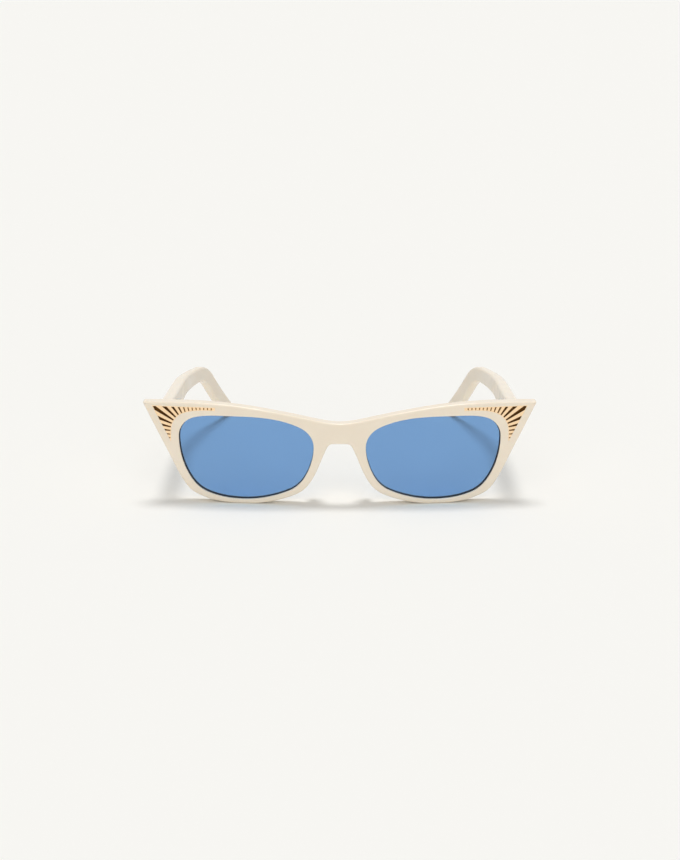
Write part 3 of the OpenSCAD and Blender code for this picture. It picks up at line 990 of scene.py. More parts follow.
# ---- fastenings ----
@dataclass
class Fastenings:
    """Rivets, knuckles and screws, grown by Geometry Nodes from points and a few sizes."""

    layout: Layout
    finishes: Finishes
    head_r: float = 1.0
    head_rise: float = 0.18
    peen_rise: float = 0.12
    chamfer: float = 0.18
    screw_head_r: float = 1.25
    screw_head_h: float = 0.6
    slot_w: float = 0.4

    def rivets(self, feet: Sequence[Vector], axis: Vector, length: float) -> bpy.types.Mesh:
        """Rivets with a low domed head, their far ends peened over.

        Args:
            feet: the middle of each peened end.
            axis: the way from there to the head.
            length: from end to head.

        Returns:
            The rivets' mesh, in millimetres.
        """
        growth = Growth(
            "domed rivets",
            {
                "Head radius": self.head_r,
                "Head rise": self.head_rise / self.head_r,
                "Shank radius": self.layout.rivet_r,
                "Peen rise": self.peen_rise / self.layout.rivet_r,
                "Length": length,
            },
        )
        given = growth.given

        def dome(radius: bpy.types.NodeSocket, share: bpy.types.NodeSocket) -> bpy.types.NodeSocket:
            """A flattened ball, half of which shows."""
            ball = growth.node(
                "GeometryNodeMeshUVSphere", {"Segments": 40, "Rings": 20, "Radius": radius}
            ).outputs[0]
            flat = growth.node("ShaderNodeCombineXYZ", {"X": 1.0, "Y": 1.0, "Z": share}).outputs[0]
            return growth.node(
                "GeometryNodeTransform", {"Geometry": ball, "Scale": flat}
            ).outputs[0]

        up = growth.node("ShaderNodeCombineXYZ", {"Z": given["Length"]}).outputs[0]
        half = growth.node("ShaderNodeVectorMath", {0: up, "Scale": 0.5}, operation="SCALE")
        head = growth.node(
            "GeometryNodeTransform",
            {"Geometry": dome(given["Head radius"], given["Head rise"]), "Translation": up},
        ).outputs[0]
        shank = growth.node(
            "GeometryNodeMeshCylinder",
            {"Vertices": 40, "Radius": given["Shank radius"], "Depth": given["Length"]},
        ).outputs[0]
        shank = growth.node(
            "GeometryNodeTransform", {"Geometry": shank, "Translation": half.outputs[0]}
        ).outputs[0]
        rivet = growth.node("GeometryNodeJoinGeometry")
        for part in (dome(given["Shank radius"], given["Peen rise"]), shank, head):
            growth.tree.links.new(part, rivet.inputs[0])
        stand = growth.node(
            "GeometryNodeInputNamedAttribute", {"Name": "axis"}, data_type="FLOAT_VECTOR"
        ).outputs[0]
        turn = growth.node(
            "FunctionNodeAlignRotationToVector", {"Vector": stand}, axis="Z"
        ).outputs[0]
        placed = growth.node(
            "GeometryNodeInstanceOnPoints",
            {"Points": given["Geometry"], "Instance": rivet.outputs[0], "Rotation": turn},
        ).outputs[0]
        growth.finish(placed, self.finishes.nickel)
        return growth.grow(points_mesh(feet, [axis] * len(feet)))

    def knuckles(self, foot: Vector, count: int) -> bpy.types.Mesh:
        """Every other knuckle of a hinge, as barrels with chamfered ends.

        Args:
            foot: the middle of the lowest knuckle's lower end.
            count: how many knuckles the leaf has.

        Returns:
            The knuckles' mesh, in millimetres.
        """
        size = self.layout
        growth = Growth(
            "hinge knuckles",
            {
                "Radius": size.knuckle_r,
                "Height": size.knuckle_h,
                "Chamfer": self.chamfer,
                "Count": count,
                "Spacing": 2 * (size.knuckle_h + size.slide_gap),
            },
        )
        given = growth.given

        def maths(
            operation: str, a: bpy.types.NodeSocket | float, b: bpy.types.NodeSocket | float
        ) -> bpy.types.NodeSocket:
            """One sum of two values."""
            return growth.node("ShaderNodeMath", {0: a, 1: b}, operation=operation).outputs[0]

        inner = maths("SUBTRACT", given["Radius"], given["Chamfer"])
        body_h = maths("SUBTRACT", given["Height"], maths("MULTIPLY", given["Chamfer"], 2.0))
        top = maths("SUBTRACT", given["Height"], given["Chamfer"])
        barrel = growth.node("GeometryNodeJoinGeometry")
        for low_r, high_r, height, z in (
            (inner, given["Radius"], given["Chamfer"], None),
            (given["Radius"], given["Radius"], body_h, given["Chamfer"]),
            (given["Radius"], inner, given["Chamfer"], top),
        ):
            drum = growth.node(
                "GeometryNodeMeshCone",
                {"Vertices": 48, "Radius Bottom": low_r, "Radius Top": high_r, "Depth": height},
                fill_type="NONE" if z is given["Chamfer"] else "NGON",
            ).outputs[0]
            if z is not None:
                lift = growth.node("ShaderNodeCombineXYZ", {"Z": z}).outputs[0]
                drum = growth.node(
                    "GeometryNodeTransform", {"Geometry": drum, "Translation": lift}
                ).outputs[0]
            growth.tree.links.new(drum, barrel.inputs[0])
        step = growth.node("ShaderNodeCombineXYZ", {"Z": given["Spacing"]}).outputs[0]
        row = growth.node("GeometryNodeMeshLine", {"Count": given["Count"], "Offset": step})
        start = growth.node(
            "GeometryNodeInstanceOnPoints",
            {"Points": given["Geometry"], "Instance": row.outputs[0]},
        ).outputs[0]
        spots = growth.node("GeometryNodeRealizeInstances", {"Geometry": start}).outputs[0]
        placed = growth.node(
            "GeometryNodeInstanceOnPoints", {"Points": spots, "Instance": barrel.outputs[0]}
        ).outputs[0]
        growth.finish(placed, self.finishes.nickel)
        return growth.grow(points_mesh([foot], [Vector((0, 0, 1))]))

    def screw(self, foot: Vector, length: float) -> bpy.types.Mesh:
        """A hinge screw with a chamfered, slotted head.

        Args:
            foot: the middle of the shank's lower end.
            length: from there to the underside of the head.

        Returns:
            The screw's mesh, in millimetres.
        """
        growth = Growth(
            "slotted screw",
            {
                "Shank radius": self.layout.screw_r,
                "Length": length + self.peen_rise,
                "Head radius": self.screw_head_r,
                "Head height": self.screw_head_h,
                "Slot width": self.slot_w,
            },
        )
        given = growth.given
        top = growth.node("ShaderNodeCombineXYZ", {"Z": given["Length"]}).outputs[0]
        half = growth.node("ShaderNodeVectorMath", {0: top, "Scale": 0.5}, operation="SCALE")
        shank = growth.node(
            "GeometryNodeMeshCylinder",
            {"Vertices": 40, "Radius": given["Shank radius"], "Depth": given["Length"]},
        ).outputs[0]
        shank = growth.node(
            "GeometryNodeTransform", {"Geometry": shank, "Translation": half.outputs[0]}
        ).outputs[0]
        crown = growth.node(
            "ShaderNodeMath", {0: given["Head radius"], 1: 0.78}, operation="MULTIPLY"
        ).outputs[0]
        head = growth.node(
            "GeometryNodeMeshCone",
            {
                "Vertices": 48,
                "Radius Bottom": given["Head radius"],
                "Radius Top": crown,
                "Depth": given["Head height"],
            },
        ).outputs[0]
        lift = growth.node(
            "ShaderNodeCombineXYZ", {"Z": given["Head height"]}
        ).outputs[0]
        slot = growth.node(
            "ShaderNodeCombineXYZ",
            {"X": 4.0, "Y": given["Slot width"], "Z": given["Head height"]},
        ).outputs[0]
        cutter = growth.node("GeometryNodeMeshCube", {"Size": slot}).outputs[0]
        cutter = growth.node(
            "GeometryNodeTransform", {"Geometry": cutter, "Translation": lift}
        ).outputs[0]
        cut = growth.node(
            "GeometryNodeMeshBoolean", {"Mesh 1": head, "Mesh 2": cutter}, operation="DIFFERENCE"
        ).outputs[0]
        cut = growth.node(
            "GeometryNodeTransform", {"Geometry": cut, "Translation": top}
        ).outputs[0]
        whole = growth.node("GeometryNodeJoinGeometry")
        for part in (shank, cut):
            growth.tree.links.new(part, whole.inputs[0])
        placed = growth.node(
            "GeometryNodeInstanceOnPoints",
            {"Points": given["Geometry"], "Instance": whole.outputs[0]},
        ).outputs[0]
        growth.finish(placed, self.finishes.steel)
        return growth.grow(
            points_mesh([foot - Vector((0, 0, self.peen_rise))], [Vector((0, 0, 1))])
        )


# ---- sub-assemblies ----
@dataclass
class Front:
    """The acetate front, milled with rounded edges, lens grooves and pockets for trim and hinge."""

    layout: Layout
    finishes: Finishes
    face_edge: float = 0.7
    back_edge: float = 0.5
    lens_edge: float = 0.2
    pocket_edge: float = 0.08
    edge_steps: int = 6
    face_pitch: float = 2.0

    def build(self) -> bpy.types.Object:
        """Builds the front in one piece."""
        size, shell = self.layout, Shell()
        thick = size.front_t
        outline = size.front_outline()
        near = quarter(self.face_edge, self.edge_steps)
        far = [(i, thick - d) for i, d in reversed(quarter(self.back_edge, self.edge_steps))]
        wall = [shell.flat_ring(grown(outline, -i), d) for i, d in [*near, *far]]
        shell.bands(wall)
        face, back = [wall[0]], [wall[-1]]
        for turn in (list, mirrored):
            opening = self._opening(shell, turn)
            face.append(opening[0])
            back.append(opening[-1])
            face.append(self._trim_pocket(shell, turn))
            back.append(self._plate_pocket(shell, turn))
        shell.fill(face, self.face_pitch)
        shell.fill(back, self.face_pitch)
        piece = shell.moved(size.bowed).as_object("acetate_front", [self.finishes.ivory])
        flatter_faces(piece)
        return piece

    def _opening(self, shell: Shell, turn: Turn) -> list[list[bmesh.types.BMVert]]:
        """Walls one lens opening, with the groove that holds the lens."""
        size = self.layout
        groove_back = size.lens_depth + size.lens_t + size.slide_gap
        near = quarter(self.lens_edge, self.edge_steps)
        groove = [
            (0.0, size.lens_depth),
            (size.groove_depth, size.lens_depth),
            (size.groove_depth, groove_back),
            (0.0, groove_back),
        ]
        far = [(i, size.front_t - d) for i, d in reversed(near)]
        outline = turn(size.lens_outline())
        rings = [shell.flat_ring(grown(outline, i), d) for i, d in [*near, *groove, *far]]
        shell.bands(rings)
        return rings

    def _trim_pocket(self, shell: Shell, turn: Turn) -> list[bmesh.types.BMVert]:
        """Sinks the pocket that the trim lies in, and returns its edge in the face."""
        size, edge = self.layout, self.pocket_edge
        outline = turn(size.trim_outline())
        floor = size.trim_inset + size.trim_t
        steps = ((edge, 0.0), (edge * 0.3, edge * 0.3), (0.0, edge), (0.0, floor))
        rings = [shell.flat_ring(grown(outline, i), d) for i, d in steps]
        shell.bands(rings)
        shell.fill([rings[-1]], self.face_pitch)
        return rings[0]

    def _plate_pocket(self, shell: Shell, turn: Turn) -> list[bmesh.types.BMVert]:
        """Sinks the pocket that the hinge's plate lies in, and returns its edge in the back."""
        size = self.layout
        corners = plate_corners(size)
        outline = turn(
            [p for a, b in zip(corners, corners[1:] + corners[:1]) for p in (a, *evenly(a, b))]
        )
        rings = [
            shell.flat_ring(outline, d) for d in (size.front_t, size.front_t - size.plate_t)
        ]
        shell.bands(rings)
        shell.fill([rings[1]], self.face_pitch)
        return rings[0]


def plate_corners(size: Layout) -> list[Vector]:
    """Corners of the hinge plate in the front's back, clockwise seen from the front."""
    x0, x1 = size.pin_x - 0.6, size.inner_x + 3.6
    z0, z1 = size.hinge_z - size.barrel_h / 2, size.hinge_z + size.barrel_h / 2
    return [Vector((x0, z0)), Vector((x0, z1)), Vector((x1, z1)), Vector((x1, z0))]


@dataclass
class Lens:
    """A dyed lens, bowed with the front, and ground to fit its groove.

    The ground border behind it, in the near-navy edge finish that is partly painted shade, is shifted
    to be a little wider at the lower outer edge, where that painted shade shows.
    """

    layout: Layout
    finishes: Finishes
    bevel: float = 0.15
    # the ground border's width; its near-navy finish is partly painted shade
    ground: float = 0.85
    shade_border_shift: tuple[float, float] = (-0.22, 0.08)
    face_pitch: float = 1.5

    def build(self, side: Side) -> bpy.types.Object:
        """Builds one lens, its ground edge with painted shade in the second slot."""
        size, shell = self.layout, Shell()
        outline = size.lens_outline(size.groove_depth - size.lens_gap)
        near, far = size.lens_depth, size.lens_depth + size.lens_t
        rings = [
            shell.flat_ring(grown(outline, -inset), depth)
            for inset, depth in (
                (self.bevel, near),
                (0.0, near + self.bevel),
                (0.0, far - self.bevel),
                (self.bevel, far),
            )
        ]
        shift = Vector(self.shade_border_shift)
        # the wider ground border behind the lens carries the near-navy painted shade
        rings.append(shell.flat_ring([p + shift for p in grown(outline, -self.ground)], far))
        shell.bands(rings, material=1)
        shell.fill([rings[0]], self.face_pitch)
        shell.fill([rings[-1]], self.face_pitch)
        piece = shell.moved(size.bowed).as_object(
            side.named("blue_lens"), [self.finishes.lens, self.finishes.lens_edge], side
        )
        flatter_faces(piece)
        return piece


@dataclass
class SunrayTrim:
    """The plated trim in a pointed corner, with grooves that fan out from the lens, painted dark brown
    as shade.
    """

    layout: Layout
    finishes: Finishes
    start_half: tuple[float, float] = (0.18, 0.29)
    wide_within: tuple[float, float] = (9.4, 13.5)
    widening: float = 0.2
    groove_reach: float = 12.0
    rib_edge: float = 0.05
    slice_pitch: float = 1.0

    def build(self, side: Side) -> bpy.types.Object:
        """Builds one trim: grooves are grown along its inner edge and cut out of the plate."""
        size = self.layout
        plate = self._prism("plate", size.trim_outline(), size.trim_inset, size.trim_t)
        plate.data.materials.append(self.finishes.gold)
        window = self._prism("window", size.trim_outline(size.trim_border), -2.0, 4.0)
        # the window's faces become the grooves' walls and floors, in the gold with painted shade
        window.data.materials.append(self.finishes.groove)
        growth = self._grooves(plate, window)
        mesh = growth.grow(self._edge_seed())
        discard(plate, window)
        shell = Shell()
        shell.add(mesh)
        used = [self.finishes.gold, self.finishes.groove]
        shell = self._eased(shell).sliced(self.slice_pitch).moved(size.bowed)
        return shell.as_object(side.named("sunray_trim"), used, side)

    def _prism(
        self, name: str, outline: Sequence[Vector], depth: float, thick: float
    ) -> bpy.types.Object:
        """An outline seen from the front, given a thickness."""
        shell = Shell()
        rings = [shell.flat_ring(outline, d) for d in (depth, depth + thick)]
        shell.bands(rings)
        for ring in rings:
            shell.mesh.faces.new(ring)
        bmesh.ops.recalc_face_normals(shell.mesh, faces=shell.mesh.faces)
        return scratch(name, shell.as_mesh(name))

    def _edge_seed(self) -> bpy.types.Mesh:
        """The trim's inner edge, with the width that a groove has at each point."""
        edge = self.layout.trim_edge()
        mesh = bpy.data.meshes.new("edge")
        mesh.from_pydata(
            [(p.x, 0.0, p.y) for p in edge], [(i, i + 1) for i in range(len(edge) - 1)], []
        )
        half = mesh.attributes.new("half", "FLOAT", "POINT")
        (narrow, wide), (near, far) = self.start_half, self.wide_within
        for i, p in enumerate(edge):
            away = ((p - self.layout.trim_corner).length - near) / (far - near)
            half.data[i].value = wide + min(1.0, max(0.0, away)) * (narrow - wide)
        return mesh

    def _grooves(self, plate: bpy.types.Object, window: bpy.types.Object) -> Growth:
        """The tree that fans wedges out from the edge, trims them to the window and cuts them."""
        size = self.layout
        growth = Growth(
            "sunray grooves",
            {
                "Plate": plate,
                "Window": window,
                "Grooves": size.ray_count,
                "Depth": size.trim_inset + size.ray_depth,
                "Reach": self.groove_reach,
                "Widening": self.widening,
            },
        )
        given = growth.given
        count = growth.node("ShaderNodeMath", {0: given["Grooves"], 1: 2.0}, operation="ADD")
        line = growth.node("GeometryNodeMeshToCurve", {"Mesh": given["Geometry"]}).outputs[0]
        line = growth.node(
            "GeometryNodeResampleCurve", {"Curve": line, "Count": count.outputs[0]}
        ).outputs[0]
        ends = growth.node("GeometryNodeCurveEndpointSelection").outputs[0]
        inner = growth.node("FunctionNodeBooleanMath", {0: ends}, operation="NOT").outputs[0]
        tall = growth.node(
            "ShaderNodeMath", {0: given["Depth"], 1: 1.0}, operation="ADD"
        ).outputs[0]
        block = growth.node(
            "ShaderNodeCombineXYZ", {"X": 2.0, "Y": tall, "Z": given["Reach"]}
        ).outputs[0]
        wedge = growth.node("GeometryNodeMeshCube", {"Size": block}).outputs[0]
        centre_y = growth.node(
            "ShaderNodeMath", {0: given["Depth"], 1: 1.0}, operation="SUBTRACT"
        ).outputs[0]
        twice = growth.node("ShaderNodeCombineXYZ", {"Y": centre_y, "Z": given["Reach"]})
        lift = growth.node(
            "ShaderNodeVectorMath", {0: twice.outputs[0], "Scale": 0.5}, operation="SCALE"
        ).outputs[0]
        wedge = growth.node(
            "GeometryNodeTransform", {"Geometry": wedge, "Translation": lift}
        ).outputs[0]
        place = growth.node(
            "ShaderNodeSeparateXYZ", {0: growth.node("GeometryNodeInputPosition").outputs[0]}
        ).outputs
        spread = growth.node(
            "ShaderNodeMath",
            {0: place["Z"], 1: given["Widening"], 2: 1.0},
            operation="MULTIPLY_ADD",
        ).outputs[0]
        across = growth.node(
            "ShaderNodeMath", {0: place["X"], 1: spread}, operation="MULTIPLY"
        ).outputs[0]
        fanned = growth.node(
            "ShaderNodeCombineXYZ", {"X": across, "Y": place["Y"], "Z": place["Z"]}
        ).outputs[0]
        wedge = growth.node(
            "GeometryNodeSetPosition", {"Geometry": wedge, "Position": fanned}
        ).outputs[0]
        way = growth.node("GeometryNodeInputTangent").outputs[0]
        turn = growth.node(
            "FunctionNodeAlignRotationToVector", {"Vector": way}, axis="X", pivot_axis="Y"
        ).outputs[0]
        half = growth.node(
            "GeometryNodeInputNamedAttribute", {"Name": "half"}, data_type="FLOAT"
        ).outputs[0]
        width = growth.node("ShaderNodeCombineXYZ", {"X": half, "Y": 1.0, "Z": 1.0}).outputs[0]
        placed = growth.node(
            "GeometryNodeInstanceOnPoints",
            {
                "Points": line,
                "Selection": inner,
                "Instance": wedge,
                "Rotation": turn,
                "Scale": width,
            },
        ).outputs[0]
        rays = growth.node("GeometryNodeRealizeInstances", {"Geometry": placed}).outputs[0]
        # the grooves take the gold with painted shade
        rays = growth.node(
            "GeometryNodeSetMaterial", {"Geometry": rays, "Material": self.finishes.groove}
        ).outputs[0]
        window_mesh = growth.node("GeometryNodeObjectInfo", {"Object": given["Window"]})
        kept = growth.node(
            "GeometryNodeMeshBoolean",
            {"Mesh 2": rays},
            operation="INTERSECT",
        )
        growth.tree.links.new(window_mesh.outputs["Geometry"], kept.inputs["Mesh 2"])
        plate_mesh = growth.node("GeometryNodeObjectInfo", {"Object": given["Plate"]})
        cut = growth.node(
            "GeometryNodeMeshBoolean",
            {"Mesh 1": plate_mesh.outputs["Geometry"], "Mesh 2": kept.outputs[0]},
            operation="DIFFERENCE",
        ).outputs[0]
        growth.finish(cut, None)
        return growth

    def _eased(self, shell: Shell) -> Shell:
        """Eases the ribs' upper edges."""
        top = self.layout.trim_inset
        bmesh.ops.remove_doubles(shell.mesh, verts=shell.mesh.verts, dist=1e-4)
        edges = [
            e
            for e in shell.mesh.edges
            if len(e.link_faces) == 2
            and all(abs(v.co.y - top) < 1e-3 for v in e.verts)
            and e.calc_face_angle(0.0) > RIB_CORNER
        ]
        bmesh.ops.bevel(
            shell.mesh,
            geom=edges,
            offset=self.rib_edge,
            segments=2,
            affect="EDGES",
            profile=0.6,
            material=0,
            clamp_overlap=True,
        )
        return shell


@dataclass
class NosePad:
    """An acetate pad glued behind the nasal side of a rim, crowned towards the nose."""

    layout: Layout
    finishes: Finishes
    length: float = 13.0
    width: float = 7.0
    thick: float = 2.4
    lean: float = 24.0
    turn: float = 10.0
    inwards: float = 0.6
    rings: int = 28
    spokes: int = 56

    def build(self, side: Side) -> bpy.types.Object:
        """Builds one pad, flattened where it is glued to the front."""
        size, shell = self.layout, Shell()
        middle = Vector(
            (
                size.lens_x0 - self.inwards,
                size.layer_y(size.lens_x0, size.front_t) + self.width / 4,
                size.rim_bottom + 0.42 * size.lens_h,
            )
        )
        stance = Matrix.Rotation(math.radians(-self.lean), 3, "Y") @ Matrix.Rotation(
            math.radians(-self.turn), 3, "Z"
        )
        loops = []
        for k in range(1, self.rings):
            rise = math.pi * (k / self.rings - 0.5)
            reach = math.cos(rise) ** 0.55
            lift = math.copysign(abs(math.sin(rise)) ** 0.85, rise) * self.thick / 2
            spots = []
            for j in range(self.spokes):
                a = 2 * math.pi * j / self.spokes
                local = Vector(
                    (
                        lift,
                        self.width / 2 * reach * math.cos(a),
                        self.length / 2 * reach * math.sin(a),
                    )
                )
                spots.append(self._seated(middle + stance @ local))
            loops.append(shell.ring(spots))
        shell.bands(loops)
        shell.cap(loops[0])
        shell.cap(loops[-1])
        return shell.as_object(side.named("nose_rest"), [self.finishes.ivory], side)

    def _seated(self, point: Vector) -> Vector:
        """A point kept behind the back of the front."""
        seat = self.layout.layer_y(point.x, self.layout.front_t)
        return Vector((point.x, max(point.y, seat), point.z))


@dataclass
class Hinge:
    """A five-knuckle hinge: a leaf in the front, a leaf in the temple and the screw between them."""

    layout: Layout
    finishes: Finishes
    fastenings: Fastenings
    edge: float = 0.12
    temple_plate_h: float = 6.4

    @property
    def foot(self) -> Vector:
        """The middle of the lowest knuckle's lower end."""
        size = self.layout
        return Vector((size.pin_x, size.pin_y, size.hinge_z - size.barrel_h / 2))

    def level(self, index: int) -> float:
        """Height of a knuckle's lower end."""
        return self.foot.z + index * (self.layout.knuckle_h + self.layout.slide_gap)

    def front_leaf(self, side: Side) -> bpy.types.Object:
        """Builds the leaf let into the front: plate, three arms and three knuckles."""
        size, shell = self.layout, Shell()
        corners = plate_corners(size)
        near = size.front_t - size.plate_t
        shell.block(
            (corners[0].x, near, corners[0].y), (corners[2].x, size.front_t, corners[2].y), self.edge
        )
        shell.sliced(1.5).moved(size.bowed)
        start = size.layer_y(size.pin_x, size.front_t - size.plate_t / 2)
        for index in (0, 2, 4):
            z = self.level(index)
            shell.block(
                (size.pin_x - 0.6, start, z),
                (size.pin_x + 0.9, size.pin_y, z + size.knuckle_h),
                self.edge,
            )
        shell.add(self.fastenings.knuckles(self.foot, 3))
        return shell.as_object(side.named("front_leaf"), [self.finishes.nickel], side)

    def temple_leaf(self, side: Side) -> bpy.types.Object:
        """Builds the leaf let into the temple: plate, two arms and two knuckles."""
        size, shell = self.layout, Shell()
        start = size.pin_y - 0.9
        shell.block(
            (size.inner_x, start, size.hinge_z - self.temple_plate_h / 2),
            (
                size.inner_x + size.plate_t,
                size.rivet_y + 2.4,
                size.hinge_z + self.temple_plate_h / 2,
            ),
            self.edge,
        )
        for index in (1, 3):
            z = self.level(index)
            shell.block(
                (size.pin_x, start, z),
                (size.inner_x + size.plate_t / 2, size.pin_y + size.knuckle_r, z + size.knuckle_h),
                self.edge,
            )
        shell.add(self.fastenings.knuckles(Vector((*self.foot.xy, self.level(1))), 2))
        return shell.as_object(side.named("temple_leaf"), [self.finishes.nickel], side)

    def screw(self, side: Side) -> bpy.types.Object:
        """Builds the screw that the hinge turns on."""
        shell = Shell()
        shell.add(self.fastenings.screw(self.foot, self.layout.barrel_h))
        return shell.as_object(side.named("slotted_screw"), [self.finishes.steel], side)

    def front_rivets(self, side: Side) -> bpy.types.Object:
        """Builds the pair of rivets under the trim, peened over on the plate."""
        size, shell = self.layout, Shell()
        x = size.inner_x + 1.9
        floor = size.trim_inset + size.trim_t
        square = Vector((-x, size.front_bow_r, 0)).normalized()
        foot = Vector((0, size.front_bow_r, size.hinge_z)) - square * (
            size.front_bow_r - size.front_t
        )
        feet = [foot + Vector((0, 0, s * size.rivet_rise)) for s in (-1, 1)]
        shell.add(self.fastenings.rivets(feet, -square, size.front_t - floor - 0.3))
        return shell.as_object(side.named("front_rivet_pair"), [self.finishes.nickel], side)

    def temple_rivets(self, side: Side) -> bpy.types.Object:
        """Builds the pair of rivets whose heads show on the temple's outer face."""
        size, shell = self.layout, Shell()
        feet = [
            Vector((size.inner_x, size.rivet_y, size.hinge_z + s * size.rivet_rise))
            for s in (-1, 1)
        ]
        shell.add(self.fastenings.rivets(feet, Vector((1, 0, 0)), size.temple_t))
        return shell.as_object(side.named("temple_rivet_pair"), [self.finishes.nickel], side)


@dataclass
class Temple:
    """An acetate temple: tapered, rounded along its edges, bent down behind the ear and bowed in."""

    layout: Layout
    finishes: Finishes
    edge: float = 1.0
    butt_edge: float = 0.3
    fullest: float = 0.95
    bow_rounds: int = 6
    bend_steps: int = 18
    end_steps: int = 12
    end_turn: float = 84.0
    end_fullness: float = 0.45
    corner_steps: int = 6
    pitch: float = 2.0
    plate_h: float = 6.4

    def __post_init__(self) -> None:
        """Lays out the line that the temple follows, seen from its side."""
        size = self.layout
        self.butt = Vector((size.layer_y(size.inner_x, size.front_t), size.hinge_z))
        self.bend_in = self.butt + size.ear_reach * self._along(size.temple_slope)
        self.centre = self.bend_in - size.ear_bend_r * self._above(size.temple_slope)
        self.bend_out = self.centre + size.ear_bend_r * self._above(size.tip_slope)
        sine = math.sin(math.radians(size.tip_slope))
        self.tip_l = (self.bend_out.y - size.tip_h / 2) / sine
        self.tip_end = self.bend_out + self.tip_l * self._along(size.tip_slope)
        self.bow_y = self.butt.x + size.bow_start
        self.bow_end = math.asin((self.tip_end.x + size.tip_h - self.bow_y) / size.temple_bow_r)

    @staticmethod
    def _along(slope: float) -> Vector:
        """The way down a slope towards the back."""
        return Vector((math.cos(math.radians(slope)), -math.sin(math.radians(slope))))

    @staticmethod
    def _above(slope: float) -> Vector:
        """The way square to a slope, upwards."""
        return Vector((math.sin(math.radians(slope)), math.cos(math.radians(slope))))

    def _half_t(self, t: float) -> float:
        """Half the thickness at a share of the inward bow."""
        return (self.layout.temple_t * (1 - t) + self.layout.tip_t * t) / 2

    def _bow_share(self, y: float, share: float) -> float:
        """How far along the inward bow a point is, share of the half thickness out of the middle."""
        size, t = self.layout, 0.0
        if y <= self.bow_y:
            return 0.0
        for _ in range(self.bow_rounds):
            off = share * self._half_t(t)
            t = math.asin((y - self.bow_y) / (size.temple_bow_r + off)) / self.bow_end
        return t

    def _x(self, y: float, share: float) -> float:
        """How far to the side a point lies, share of the half thickness out of the middle."""
        size = self.layout
        t = self._bow_share(y, share)
        off = share * self._half_t(t)
        middle = size.temple_x - size.temple_t / 2
        return middle - size.temple_bow_r + (size.temple_bow_r + off) * math.cos(t * self.bow_end)

    def _section(self, half_t: float, half_h: float, edge: float) -> list[tuple[float, float]]:
        """A rounded section, as (share of the half thickness, distance above the middle line)."""
        edge = min(edge, self.fullest * half_t, self.fullest * half_h)
        points = []
        for i, (sx, sz) in enumerate(((1, 1), (-1, 1), (-1, -1), (1, -1))):
            for k in range(self.corner_steps + 1):
                a = math.radians(90 * (i + k / self.corner_steps))
                x = sx * (half_t - edge) + edge * math.cos(a)
                points.append((x / half_t, sz * (half_h - edge) + edge * math.sin(a)))
        return points

    def _stations(self) -> list[tuple[Vector, float, float, float]]:
        """The middle line behind the butt, as (point, slope, half height, share of thickness)."""
        size = self.layout
        stations = []
        steps = math.ceil(size.ear_reach / self.pitch)
        for i in range(1, steps + 1):
            run = size.ear_reach * i / steps
            share = (run + size.front_t) / (size.ear_reach + size.front_t)
            half_h = (size.temple_h * (1 - share) + size.tip_h * share) / 2
            point = self.butt + run * self._along(size.temple_slope)
            stations.append((point, size.temple_slope, half_h, 1.0))
        for i in range(1, self.bend_steps + 1):
            slope = size.temple_slope + i / self.bend_steps * (size.tip_slope - size.temple_slope)
            point = self.centre + size.ear_bend_r * self._above(slope)
            stations.append((point, slope, size.tip_h / 2, 1.0))
        steps = math.ceil(self.tip_l / self.pitch)
        for i in range(1, steps + 1):
            point = self.bend_out + self.tip_l * i / steps * self._along(size.tip_slope)
            stations.append((point, size.tip_slope, size.tip_h / 2, 1.0))
        for i in range(1, self.end_steps + 1):
            turn = math.radians(self.end_turn * i / self.end_steps)
            point = self.tip_end + size.tip_h / 2 * math.sin(turn) * self._along(size.tip_slope)
            share = math.cos(turn) ** self.end_fullness
            stations.append((point, size.tip_slope, size.tip_h / 2 * math.cos(turn), share))
        return stations

    def _ring(
        self, shell: Shell, point: Vector, slope: float, half_h: float, share: float
    ) -> list[bmesh.types.BMVert]:
        """One section of the temple as a ring of points."""
        half_t = self._half_t(self._bow_share(point.x, 0.0))
        spots = []
        for across, above in self._section(half_t * share, half_h, self.edge):
            side_point = point + above * self._above(slope)
            x = self._x(side_point.x, across * share)
            spots.append(Vector((x, side_point.x, side_point.y)))
        return shell.ring(spots)

    def _butt_ring(self, shell: Shell, inset: float, back: float) -> list[bmesh.types.BMVert]:
        """A section cut to lie along the bowed front, a distance behind the temple's end."""
        size = self.layout
        half_t = size.temple_t / 2
        spots = []
        for across, above in self._section(half_t, size.temple_h / 2, self.edge):
            across *= 1 - inset / half_t
            above *= 1 - inset / (size.temple_h / 2)
            x = size.temple_x - half_t + across * half_t
            y = size.layer_y(x, size.front_t + size.butt_gap) + back
            run = (y - self.butt.x - above * self._above(size.temple_slope).x) / self._along(
                size.temple_slope
            ).x
            point = self.butt + run * self._along(size.temple_slope)
            spots.append(Vector((x, y, (point + above * self._above(size.temple_slope)).y)))
        return shell.ring(spots)

    def build(self, side: Side) -> bpy.types.Object:
        """Builds one temple with the pocket for its hinge plate."""
        shell = Shell()
        turned = [
            (inset, depth) for inset, depth in quarter(self.butt_edge, 4)
        ]
        rings = [self._butt_ring(shell, inset, back) for inset, back in turned]
        rings += [self._ring(shell, *station) for station in self._stations()]
        shell.bands(rings)
        shell.cap(rings[0])
        shell.cap(rings[-1])
        piece = shell.as_object(side.named("acetate_temple"), [self.finishes.ivory], side)
        self._pocket(piece, side)
        flatter_faces(piece)
        return piece

